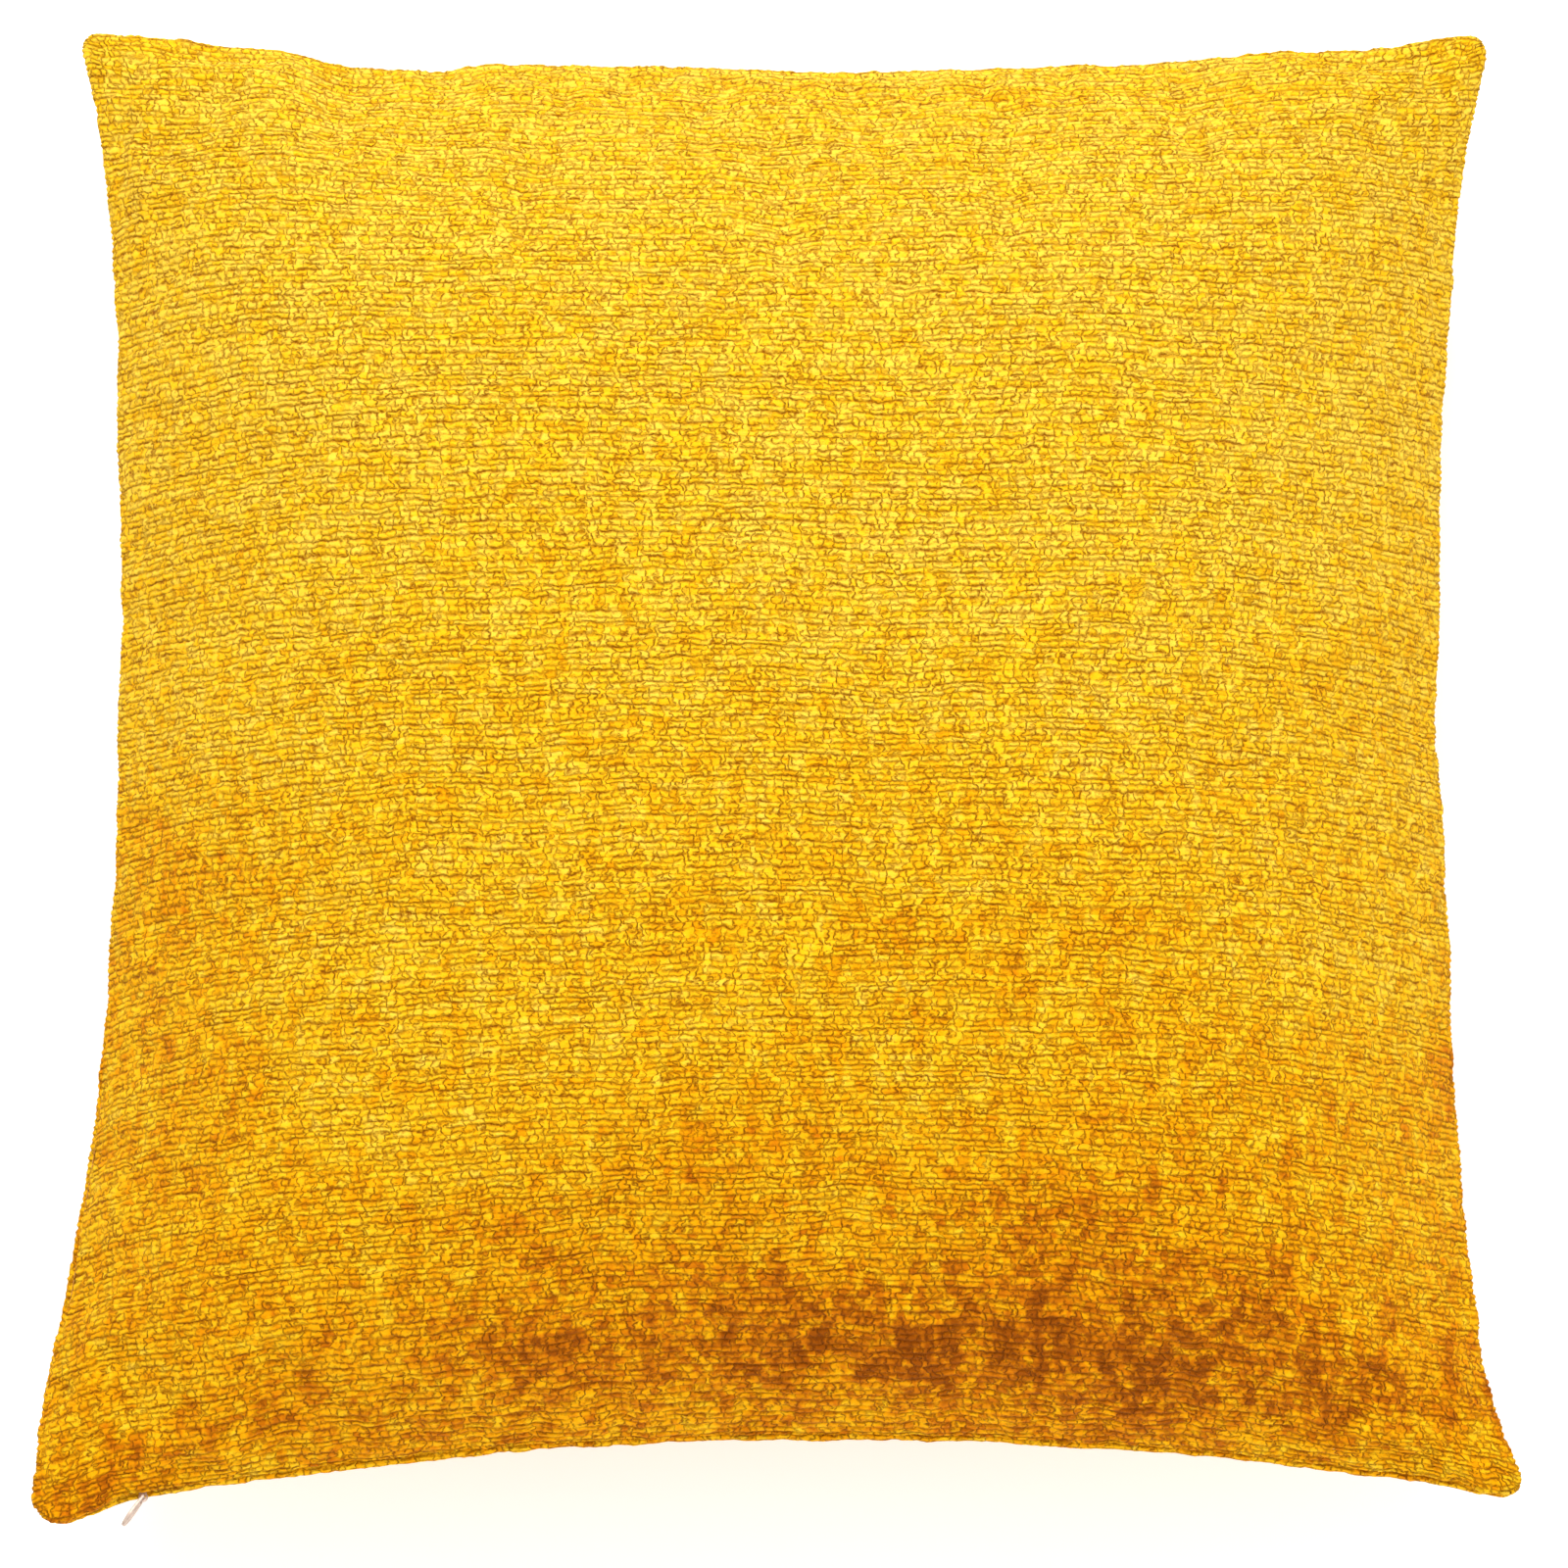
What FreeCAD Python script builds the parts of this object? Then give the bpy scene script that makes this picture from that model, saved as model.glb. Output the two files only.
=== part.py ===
"""Throw pillow: a square knife-edge chenille cover, with a concealed zip in one edge, over a filled insert.

The pillow lies on its back. +Z is up, out of the front panel. The zip edge faces -Y, and +X runs along it
towards the zip's open end. The origin is the middle of the flat patch that the back panel rests on.
Lengths are in millimetres.
"""

import FreeCAD, Part
import math
import os
import re

import Sketcher
from FreeCAD import Placement, Rotation, Vector

# Every driving dimension: alias, value in mm or degrees, meaning
DIMENSIONS = [
    ("side_mid", 229.0, "centre line to the middle of the left or right edge"),
    ("top_mid", 234.0, "centre line to the middle of the top edge"),
    ("bottom_mid", 231.0, "centre line to the middle of the zip edge"),
    ("side_radius", 1530.0, "inward bow of the left and right edges"),
    ("top_radius", 1560.0, "inward bow of the top edge"),
    ("bottom_radius", 1370.0, "inward bow of the zip edge"),
    ("corner_radius", 9.0, "rounding of the cover's corners"),
    ("inner_corner_radius", 7.0, "rounding of the corners inside the cover"),
    ("seam_height", 78.0, "seam plane above the surface the pillow lies on"),
    ("prism_depth", 110.0, "how far each outline is carried above and below the seam plane"),
    ("edge_rise", 3.5, "half thickness of the folded seam at the outline"),
    ("front_crown", 83.0, "swell of the front panel above the folded seam"),
    ("back_crown", 80.5, "swell of the back panel before it flattens on what it lies on"),
    ("panel_gap", 0.7, "slit between the cover's two panels, which the seam thread runs in"),
    ("insert_gap", 0.7, "slit between the insert's two panels"),
    ("thread_size", 0.5, "seam thread diameter"),
    ("cover_thread_inset", 2.2, "cover seam thread inside the outline"),
    ("side_thread_angle", 9.0, "half angle of the left and right seams about their bow's centre"),
    ("top_thread_angle", 8.75, "half angle of the top seam"),
    ("zip_end_thread_start", 9.5, "angle at which the seams past the zip start"),
    ("zip_end_thread_span", 0.55, "angle that they cover"),
    ("insert_thread_inset", 7.2, "insert seam thread inside the cover's outline"),
    ("insert_bottom_thread", 16.9, "insert seam thread inside the cover's zip edge"),
    ("closing_angle", 3.1, "half angle of the insert's closing seam about its bow's centre"),
    ("opening_length", 150.4, "gap in the insert's seam, which the closing seam fills"),
    ("zip_turn", 18.0, "tilt of the zip's mouth up from the seam plane"),
    ("zip_inset", 3.6, "zip axis inside the outline"),
    ("zip_rise", 0.2, "zip axis above the seam plane"),
    ("channel_angle", 9.45, "half angle of the zip channel about the bow's centre"),
    ("tape_angle", 9.3, "half angle of the tapes"),
    ("mouth_half", 1.0, "half width of the groove between the lips"),
    ("mouth_reach", 8.0, "how far the groove is cut outward"),
    ("flare_half", 2.7, "half width of the groove where the pull lies between the lips"),
    ("flare_start", 0.3, "where the groove starts to widen, outward from the zip axis"),
    ("flare_end", 1.1, "where the groove is at its full width, outward from the zip axis"),
    ("lip_depth", 1.9, "depth of the lips over the tapes"),
    ("cavity_half", 4.4, "half width of the space for the zip"),
    ("cavity_depth", 9.8, "depth of the space for the zip"),
    ("tape_edge", 0.95, "tape's inner edge from the zip axis"),
    ("tape_half", 4.0, "tape's fold from the zip axis"),
    ("tape_top", 2.4, "depth of the tape's outer face"),
    ("tape_thickness", 0.4, "tape thickness"),
    ("tape_depth", 9.4, "depth that the tape hangs to"),
    ("stitch_size", 0.4, "zip stitching thread diameter"),
    ("stitch_offset", 2.6, "zip stitching from the zip axis"),
    ("stitch_depth", 2.15, "zip stitching depth"),
    ("coil_size", 1.7, "coil diameter"),
    ("coil_offset", 0.9, "closed coil's centre from the zip axis"),
    ("coil_parted", 1.5, "parted coil's centre from the zip axis"),
    ("coil_depth", 3.75, "coil centre depth"),
    ("coil_closed_start", 8.86, "angle at which the coils close"),
    ("coil_closed_end", 8.8, "angle at which the coils end, at the open end"),
    ("coil_parted_end", 9.17, "angle at which the parted coils end"),
    ("slider_angle", 8.95, "slider's place at rest, with the zip closed"),
    ("top_stop_start", 9.18, "angle at which the top stops start"),
    ("top_stop_span", 0.08, "angle that each top stop covers"),
    ("bottom_stop_start", 8.83, "angle at which the bottom stop starts"),
    ("bottom_stop_span", 0.12, "angle that the bottom stop covers"),
    ("bottom_stop_half", 2.0, "bottom stop's half width"),
    ("stop_top", 2.9, "depth of the stops' outer face"),
    ("stop_depth", 4.8, "depth of the stops' inner face"),
    ("stop_inner", 0.75, "top stop's near side"),
    ("stop_outer", 2.5, "top stop's far side"),
    ("slider_nose", 4.8, "slider's length ahead of its middle, towards the closed end"),
    ("slider_tail", 4.6, "slider's length behind its middle"),
    ("slider_half", 3.3, "slider's half width at the shoulders"),
    ("slider_tail_half", 3.1, "slider's half width at the tail"),
    ("slider_nose_half", 1.8, "slider's half width at the nose"),
    ("shoulder_place", 3.5, "slider's shoulders ahead of its middle"),
    ("waist_place", 1.0, "where the slider starts to narrow, ahead of its middle"),
    ("slider_bottom", 5.8, "depth of the slider's inner face"),
    ("plate_thickness", 0.9, "slider plate thickness"),
    ("flank_inner", 2.55, "inner side of the slider's flanks"),
    ("flank_top", 3.1, "depth of the flanks' outer edge"),
    ("neck_half", 0.45, "half thickness of the neck and bail"),
    ("neck_width", 3.2, "neck's length along the zip"),
    ("bail_place", 2.3, "bail's centre ahead of the slider's middle"),
    ("bail_height", 2.3, "bail's centre above the zip axis"),
    ("bail_radius", 1.6, "bail's outer radius"),
    ("bail_hole", 0.9, "radius of the bail's eye"),
    ("pull_angle", 48.0, "pull's lean at rest, up from the closed end"),
    ("pull_length", 11.6, "pull's hinge to its tip"),
    ("pull_thickness", 1.0, "pull thickness"),
    ("pull_start", 0.5, "how far the pull's legs run past the hinge"),
    ("pull_top_half", 1.6, "pull's half width at the hinge"),
    ("pull_belly_half", 2.15, "pull's half width at its widest"),
    ("pull_belly", 6.6, "pull's widest place from the hinge"),
    ("pull_tip_radius", 1.3, "rounding of the pull's tip"),
    ("pull_pin", 0.6, "radius of the pull's crossbar"),
    ("pull_eye_half", 0.8, "half width of the pull's eye"),
    ("pull_eye_end", 2.2, "far end of the pull's eye"),
]

# Nested skins, from the outside in: name, how far in from the outline, how far in from the zip edge,
# how far below the cover's crown, and half the thickness at the skin's own outline
LEVELS = [
    ("cover_outside", 0.0, 0.0, 0.0, 3.5),
    ("cover_inside", 4.5, 4.5, 2.4, 1.5),
    ("insert_outside", 6.0, 15.6, 3.0, 1.2),
    ("insert_inside", 8.4, 18.0, 3.8, 0.8),
    ("filling", 9.0, 18.6, 4.1, 0.6),
]

CROWN_STEPS = 20  # grid steps across a crowned surface
CROWN_REACH = 1.03  # how far a crowned surface runs past the outline before it is trimmed
BOX_HALF = 300.0  # half size of the blocks that trim at a plane

doc = FreeCAD.newDocument("ThrowPillow")
sheet = doc.addObject("Spreadsheet::Sheet", "Dimensions")


def fill_sheet():
    """One row for each dimension: its alias, its value and what it means."""
    row = 1
    for alias, value, meaning in DIMENSIONS:
        sheet.set(f"A{row}", alias)
        sheet.set(f"B{row}", str(value))
        sheet.setAlias(f"B{row}", alias)
        sheet.set(f"C{row}", meaning)
        row += 1
    for name, inset, zip_inset, drop, rise in LEVELS:
        for word, value in (("inset", inset), ("zip_inset", zip_inset), ("drop", drop), ("rise", rise)):
            sheet.set(f"A{row}", f"{name}_{word}")
            sheet.set(f"B{row}", str(value))
            sheet.setAlias(f"B{row}", f"{name}_{word}")
            row += 1
    doc.recompute()


def cell(expression):
    """The value of an expression written in the sheet's aliases."""
    return float(sheet.evalExpression(expression))


def bound(expression):
    """The same expression as another object writes it, with the sheet's name before each alias."""
    return re.sub(r"[a-z]\w*", r"Dimensions.\g<0>", expression)


# ---------------------------------------------------------------- sketches


def origin_feature(body, role):
    return next(f for f in body.Origin.OriginFeatures if f.Role == role)


def new_body(name):
    body = doc.addObject("PartDesign::Body", name)
    body.Label = name
    return body


def new_sketch(body, name, plane, offset=None):
    """A sketch on one of the body's own origin planes, moved within or off it by offset."""
    sketch = body.newObject("Sketcher::SketchObject", name)
    sketch.AttachmentSupport = [(origin_feature(body, plane), "")]
    sketch.MapMode = "FlatFace"
    if offset is not None:
        sketch.AttachmentOffset = offset
    return sketch


def drive(sketch, kind, *where, size):
    """Adds a dimension to the sketch and binds it to an expression in the sheet's aliases."""
    index = sketch.addConstraint(Sketcher.Constraint(kind, *where, cell(size)))
    sketch.setExpression(f"Constraints[{index}]", bound(size))


def add_circle(sketch, x, y, radius):
    circle = Part.Circle(Vector(cell(x), cell(y), 0), Vector(0, 0, 1), cell(radius))
    index = sketch.addGeometry(circle, False)
    drive(sketch, "Radius", index, size=radius)
    drive(sketch, "DistanceX", -1, 1, index, 3, size=x)
    drive(sketch, "DistanceY", -1, 1, index, 3, size=y)


def add_polygon(sketch, corners):
    """A closed polygon, each corner an (x, y) pair of expressions measured from the sketch's origin."""
    places = [Vector(cell(x), cell(y), 0) for x, y in corners]
    first = len(sketch.Geometry)
    count = len(corners)
    for i in range(count):
        sketch.addGeometry(Part.LineSegment(places[i], places[(i + 1) % count]), False)
    for i in range(count):
        following = first + (i + 1) % count
        sketch.addConstraint(Sketcher.Constraint("Coincident", first + i, 2, following, 1))
    for i, (x, y) in enumerate(corners):
        drive(sketch, "DistanceX", -1, 1, first + i, 1, size=x)
        drive(sketch, "DistanceY", -1, 1, first + i, 1, size=y)


def add_rectangle(sketch, left, right, low, high):
    add_polygon(sketch, [(left, low), (right, low), (right, high), (left, high)])


def arc(center, radius, start, end):
    """A circular arc drawn from one angle to another, counter-clockwise, in radians."""
    return Part.ArcOfCircle(Part.Circle(center, Vector(0, 0, 1), radius), start, end)


def add_outline(sketch, inset, zip_inset, corner):
    """The pillow's outline, inset: four inward-bowed edges joined by four rounded corners, all tangent."""
    edges = [
        (0, "side_mid + side_radius", f"side_radius + {inset}"),
        (90, "top_mid + top_radius", f"top_radius + {inset}"),
        (180, "side_mid + side_radius", f"side_radius + {inset}"),
        (270, "bottom_mid + bottom_radius", f"bottom_radius + {zip_inset}"),
    ]
    round_radius = cell(corner)
    centers = []
    for turn, reach, _ in edges:
        way = Vector(math.cos(math.radians(turn)), math.sin(math.radians(turn)), 0)
        centers.append(way * cell(reach))
    corners = []
    for i in range(4):
        following = (i + 1) % 4
        near_radius = cell(edges[i][2]) + round_radius
        far_radius = cell(edges[following][2]) + round_radius
        corners.append(circle_meeting(centers[i], near_radius, centers[following], far_radius))
    first = len(sketch.Geometry)
    for i in range(4):
        before, after = corners[i - 1], corners[i]
        ends = sorted((angle_of(before - centers[i]), angle_of(after - centers[i])))
        if ends[1] - ends[0] > math.pi:
            ends = [ends[1], ends[0] + 2 * math.pi]
        sketch.addGeometry(arc(centers[i], cell(edges[i][2]), *ends), False)
    for i in range(4):
        start = angle_of(centers[i] - corners[i])
        end = angle_of(centers[(i + 1) % 4] - corners[i])
        if end < start:
            end += 2 * math.pi
        sketch.addGeometry(arc(corners[i], round_radius, start, end), False)
    for i, (turn, reach, radius) in enumerate(edges):
        drive(sketch, "Radius", first + i, size=radius)
        along, across = ("X", "Y") if turn in (0, 180) else ("Y", "X")
        sign = "" if turn in (0, 90) else "-"
        drive(sketch, f"Distance{along}", -1, 1, first + i, 3, size=f"{sign}({reach})")
        sketch.addConstraint(
            Sketcher.Constraint("PointOnObject", first + i, 3, -1 if along == "X" else -2)
        )
        drive(sketch, "Radius", first + 4 + i, size=corner)
    for i in range(4):
        join_tangent(sketch, first + i, first + 4 + i)
        join_tangent(sketch, first + (i + 1) % 4, first + 4 + i)


def join_tangent(sketch, edge, corner):
    """Joins the ends of two arcs that already meet, with a tangent point."""
    ends = [
        (edge_end, corner_end)
        for edge_end in (1, 2)
        for corner_end in (1, 2)
        if sketch.getPoint(edge, edge_end).distanceToPoint(sketch.getPoint(corner, corner_end)) < 1e-3
    ]
    edge_end, corner_end = ends[0]
    sketch.addConstraint(Sketcher.Constraint("Tangent", edge, edge_end, corner, corner_end))


def circle_meeting(first, first_radius, second, second_radius):
    """Where two circles meet, on the side nearer the pillow's middle."""
    between = second - first
    gap = between.Length
    along = (gap**2 + first_radius**2 - second_radius**2) / (2 * gap)
    aside = math.sqrt(first_radius**2 - along**2)
    unit = between / gap
    side = Vector(-unit.y, unit.x, 0)
    meetings = [first + unit * along + side * way * aside for way in (-1, 1)]
    return min(meetings, key=lambda place: place.Length)


def angle_of(vector):
    return math.atan2(vector.y, vector.x)


# ---------------------------------------------------------------- features


def pad(body, name, sketch, length, midplane=False, downward=False):
    feature = body.newObject("PartDesign::Pad", name)
    feature.Profile = sketch
    feature.Length = cell(length)
    feature.setExpression("Length", bound(length))
    feature.Midplane = midplane
    feature.Reversed = downward
    return feature


def pocket_through(body, name, sketch, length):
    """A pocket cut both ways from its sketch, right through."""
    feature = body.newObject("PartDesign::Pocket", name)
    feature.Profile = sketch
    feature.Length = cell(length)
    feature.setExpression("Length", bound(length))
    feature.Midplane = True
    return feature


def revolve(body, name, sketch, angle, midplane=False, backward=False):
    """Turns a sketch about the body's Z axis."""
    feature = body.newObject("PartDesign::Revolution", name)
    feature.Profile = sketch
    feature.ReferenceAxis = (origin_feature(body, "Z_Axis"), [""])
    feature.Angle = cell(angle)
    feature.setExpression("Angle", bound(angle))
    feature.Midplane = midplane
    feature.Reversed = backward
    return feature


def place_at_bow(body, edge, turn=0.0):
    """Puts the body's Z axis through the centre of an edge's bow, with its +X towards the edge's middle.

    turn moves it along the edge, by an angle about that centre.
    """
    facing, reach, axis, sign = {
        "right": (180.0, "side_mid + side_radius", "x", ""),
        "top": (270.0, "top_mid + top_radius", "y", ""),
        "left": (0.0, "side_mid + side_radius", "x", "-"),
        "bottom": (90.0, "bottom_mid + bottom_radius", "y", "-"),
    }[edge]
    body.Placement = Placement(Vector(), Rotation(Vector(0, 0, 1), facing + turn))
    body.setExpression(f"Placement.Base.{axis}", bound(f"{sign}({reach})"))
    body.setExpression("Placement.Base.z", bound("seam_height"))


def common(name, *objects):
    feature = doc.addObject("Part::MultiCommon", name)
    feature.Shapes = list(objects)
    feature.Label = name
    return feature


def cut(name, base, tool):
    feature = doc.addObject("Part::Cut", name)
    feature.Base = base
    feature.Tool = tool
    feature.Label = name
    return feature


def slab(name, low, thickness):
    """A wide block from a height upwards, both given as expressions."""
    block = doc.addObject("Part::Box", name)
    block.Length = 2 * BOX_HALF
    block.Width = 2 * BOX_HALF
    block.Height = cell(thickness)
    block.setExpression("Height", bound(thickness))
    block.Placement = Placement(Vector(-BOX_HALF, -BOX_HALF, 0), Rotation())
    block.setExpression("Placement.Base.z", bound(low))
    block.Label = name
    return block


# ---------------------------------------------------------------- crowned skins


def swell(place):
    """Height of a stuffed panel across its width: 1 in the middle, 0 at the seams, steep at the seams."""
    return 1 - 0.2 * place**2 - 0.4 * place**4 - 0.4 * place**6


def crowned_solid(name, side, inset, crown, rise):
    """Everything on the filling's side of one crowned panel surface, before it is trimmed to the outline.

    side is 1 for the front and -1 for the back.
    """
    corner = circle_meeting(
        Vector(cell("side_mid + side_radius"), 0, 0),
        cell("side_radius"),
        Vector(0, -cell("bottom_mid + bottom_radius"), 0),
        cell("bottom_radius"),
    )
    half_width = abs(corner.x) - inset
    half_height = abs(corner.y) - inset
    side_mid, side_radius = cell("side_mid") - inset, cell("side_radius") + inset
    ends = {
        1: (cell("top_mid") - inset, cell("top_radius") + inset),
        -1: (cell("bottom_mid") - inset, cell("bottom_radius") + inset),
    }
    rows = []
    for i in range(CROWN_STEPS + 1):
        across = CROWN_REACH * (2 * i / CROWN_STEPS - 1)
        row = []
        for j in range(CROWN_STEPS + 1):
            along = CROWN_REACH * (2 * j / CROWN_STEPS - 1)
            mid, radius = ends[1 if along > 0 else -1]
            reach_x = side_mid + side_radius - math.sqrt(side_radius**2 - (along * half_height) ** 2)
            reach_y = mid + radius - math.sqrt(radius**2 - (across * half_width) ** 2)
            height = rise + crown * swell(across) * swell(along)
            row.append(Vector(across * reach_x, along * reach_y, cell("seam_height") + side * height))
        rows.append(row)
    surface = Part.BSplineSurface()
    surface.interpolate(rows)
    solid = surface.toShape().extrude(Vector(0, 0, -side * 2 * cell("prism_depth")))
    feature = doc.addObject("Part::Feature", name)
    feature.Shape = solid
    feature.Label = name
    return feature


def skin(name):
    """One closed pillow shape: the outline's prism, trimmed by two crowned surfaces and a flat floor."""
    corner = "corner_radius" if name == "cover_outside" else "inner_corner_radius"
    prism = new_body(f"{name}_prism")
    sketch = new_sketch(prism, f"{name}_outline", "XY_Plane")
    add_outline(sketch, f"{name}_inset", f"{name}_zip_inset", corner)
    pad(prism, f"{name}_prism_pad", sketch, "2 * prism_depth", midplane=True)
    prism.setExpression("Placement.Base.z", bound("seam_height"))
    inset, drop, rise = (cell(f"{name}_{word}") for word in ("inset", "drop", "rise"))
    lost = drop + rise - cell("edge_rise")
    front = crowned_solid(f"{name}_front_crown", 1, inset, cell("front_crown") - lost, rise)
    back = crowned_solid(f"{name}_back_crown", -1, inset, cell("back_crown") - lost, rise)
    floor = slab(f"{name}_floor", f"{name}_drop", "2 * prism_depth")
    return common(name, prism, front, back, floor)


# ---------------------------------------------------------------- zip


def zip_sketch(body, name):
    """A sketch across the zip: x runs up the zip's face, y runs out through its mouth, from the zip axis."""
    reach = cell("bottom_radius + zip_inset")
    offset = Placement(Vector(reach, cell("zip_rise"), 0), Rotation(Vector(0, 0, 1), 90 - cell("zip_turn")))
    sketch = new_sketch(body, name, "XZ_Plane", offset)
    sketch.setExpression("AttachmentOffset.Base.x", bound("bottom_radius + zip_inset"))
    sketch.setExpression("AttachmentOffset.Base.y", bound("zip_rise"))
    return sketch


def zip_channel():
    """The space for the zip: a wide groove that the pull lies in, a narrow mouth, and a cavity behind it."""
    body = new_body("zip_channel")
    sketch = zip_sketch(body, "zip_channel_section")
    add_polygon(
        sketch,
        [
            ("-flare_half", "mouth_reach"),
            ("-flare_half", "flare_end"),
            ("-mouth_half", "flare_start"),
            ("-mouth_half", "-lip_depth"),
            ("-cavity_half", "-lip_depth"),
            ("-cavity_half", "-cavity_depth"),
            ("cavity_half", "-cavity_depth"),
            ("cavity_half", "-lip_depth"),
            ("mouth_half", "-lip_depth"),
            ("mouth_half", "flare_start"),
            ("flare_half", "flare_end"),
            ("flare_half", "mouth_reach"),
        ],
    )
    revolve(body, "zip_channel_sweep", sketch, "2 * channel_angle", midplane=True)
    place_at_bow(body, "bottom")
    return body


def zip_tape(name, side):
    """A woven tape: flat under its lip, then folded inwards beside the slider. side is 1 front, -1 back."""
    body = new_body(name)
    sketch = zip_sketch(body, f"{name}_section")
    sign = "" if side > 0 else "-"
    add_polygon(
        sketch,
        [
            (f"{sign}(tape_edge)", "-tape_top"),
            (f"{sign}(tape_half)", "-tape_top"),
            (f"{sign}(tape_half)", "-tape_depth"),
            (f"{sign}(tape_half - tape_thickness)", "-tape_depth"),
            (f"{sign}(tape_half - tape_thickness)", "-(tape_top + tape_thickness)"),
            (f"{sign}(tape_edge)", "-(tape_top + tape_thickness)"),
        ],
    )
    revolve(body, f"{name}_sweep", sketch, "2 * tape_angle", midplane=True)
    place_at_bow(body, "bottom")
    return body


def zip_stitch(name, side):
    """The line of stitching between a tape and its panel."""
    body = new_body(name)
    sketch = zip_sketch(body, f"{name}_section")
    sign = "" if side > 0 else "-"
    add_circle(sketch, f"{sign}(stitch_offset)", "-stitch_depth", "stitch_size / 2")
    revolve(body, f"{name}_sweep", sketch, "2 * tape_angle", midplane=True)
    place_at_bow(body, "bottom")
    return body


def zip_coil(name, side):
    """A coil's outer shape: closed along the zip, then parted round the slider's neck up to its top stop."""
    body = new_body(name)
    sign = "" if side > 0 else "-"
    closed = zip_sketch(body, f"{name}_closed_section")
    add_circle(closed, f"{sign}(coil_offset)", "-coil_depth", "coil_size / 2")
    revolve(body, f"{name}_closed", closed, "coil_closed_start + coil_closed_end", backward=True)
    parted = zip_sketch(body, f"{name}_parted_section")
    add_circle(parted, f"{sign}(coil_parted)", "-coil_depth", "coil_size / 2")
    revolve(body, f"{name}_parted", parted, "coil_parted_end - coil_closed_start")
    place_at_bow(body, "bottom", cell("coil_closed_start"))


def zip_stop(name, low, high, start, span):
    """A small stop clamped on the zip: a block across it from low to high."""
    body = new_body(name)
    sketch = zip_sketch(body, f"{name}_section")
    add_rectangle(sketch, low, high, "-stop_depth", "-stop_top")
    revolve(body, f"{name}_sweep", sketch, span)
    place_at_bow(body, "bottom", start)


def slider_frame():
    """The slider's place at rest: X runs along the zip, Y up its face and Z out of its mouth."""
    turn = cell("slider_angle")
    reach = cell("bottom_radius + zip_inset")
    middle = Vector(
        -reach * math.sin(math.radians(turn)),
        reach * math.cos(math.radians(turn)) - cell("bottom_mid + bottom_radius"),
        cell("seam_height + zip_rise"),
    )
    lean = Rotation(Vector(1, 0, 0), 90 - cell("zip_turn"))
    return Placement(middle, Rotation(Vector(0, 0, 1), turn) * lean)


def slider():
    """Inner plate with two flanks that guide the coils, a neck between the lips, and a bail for the pull."""
    body = new_body("slider_body")
    plate = new_sketch(body, "slider_plate_outline", "XY_Plane")
    plate.AttachmentOffset = Placement(Vector(0, 0, -cell("slider_bottom")), Rotation())
    plate.setExpression("AttachmentOffset.Base.z", bound("-slider_bottom"))
    half_outline = [
        ("-slider_nose", "slider_nose_half"),
        ("-shoulder_place", "slider_half"),
        ("-waist_place", "slider_half"),
        ("slider_tail", "slider_tail_half"),
    ]
    mirrored = [(x, f"-({y})") for x, y in reversed(half_outline)]
    add_polygon(plate, half_outline + mirrored)
    pad(body, "slider_plate", plate, "plate_thickness")
    flanks = new_sketch(body, "slider_flanks_outline", "XY_Plane")
    flanks.AttachmentOffset = Placement(Vector(0, 0, cell("plate_thickness - slider_bottom")), Rotation())
    flanks.setExpression("AttachmentOffset.Base.z", bound("plate_thickness - slider_bottom"))
    for sign in ("", "-"):
        add_polygon(
            flanks,
            [
                ("-shoulder_place", f"{sign}(flank_inner)"),
                ("slider_tail", f"{sign}(flank_inner)"),
                ("slider_tail", f"{sign}(slider_tail_half)"),
                ("-waist_place", f"{sign}(slider_half)"),
                ("-shoulder_place", f"{sign}(slider_half)"),
            ],
        )
    pad(body, "slider_flanks", flanks, "slider_bottom - plate_thickness - flank_top")
    neck = new_sketch(body, "slider_neck_outline", "XZ_Plane")
    add_rectangle(
        neck,
        "-(bail_place + neck_width / 2)",
        "-(bail_place - neck_width / 2)",
        "-(slider_bottom - plate_thickness / 2)",
        "bail_height",
    )
    pad(body, "slider_neck", neck, "2 * neck_half", midplane=True)
    bail = new_sketch(body, "slider_bail_outline", "XZ_Plane")
    add_circle(bail, "-bail_place", "bail_height", "bail_radius")
    pad(body, "slider_bail", bail, "2 * neck_half", midplane=True)
    eye = new_sketch(body, "slider_bail_eye_outline", "XZ_Plane")
    add_circle(eye, "-bail_place", "bail_height", "bail_hole")
    pocket_through(body, "slider_bail_eye", eye, "4 * neck_half")
    body.Placement = slider_frame()


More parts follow.
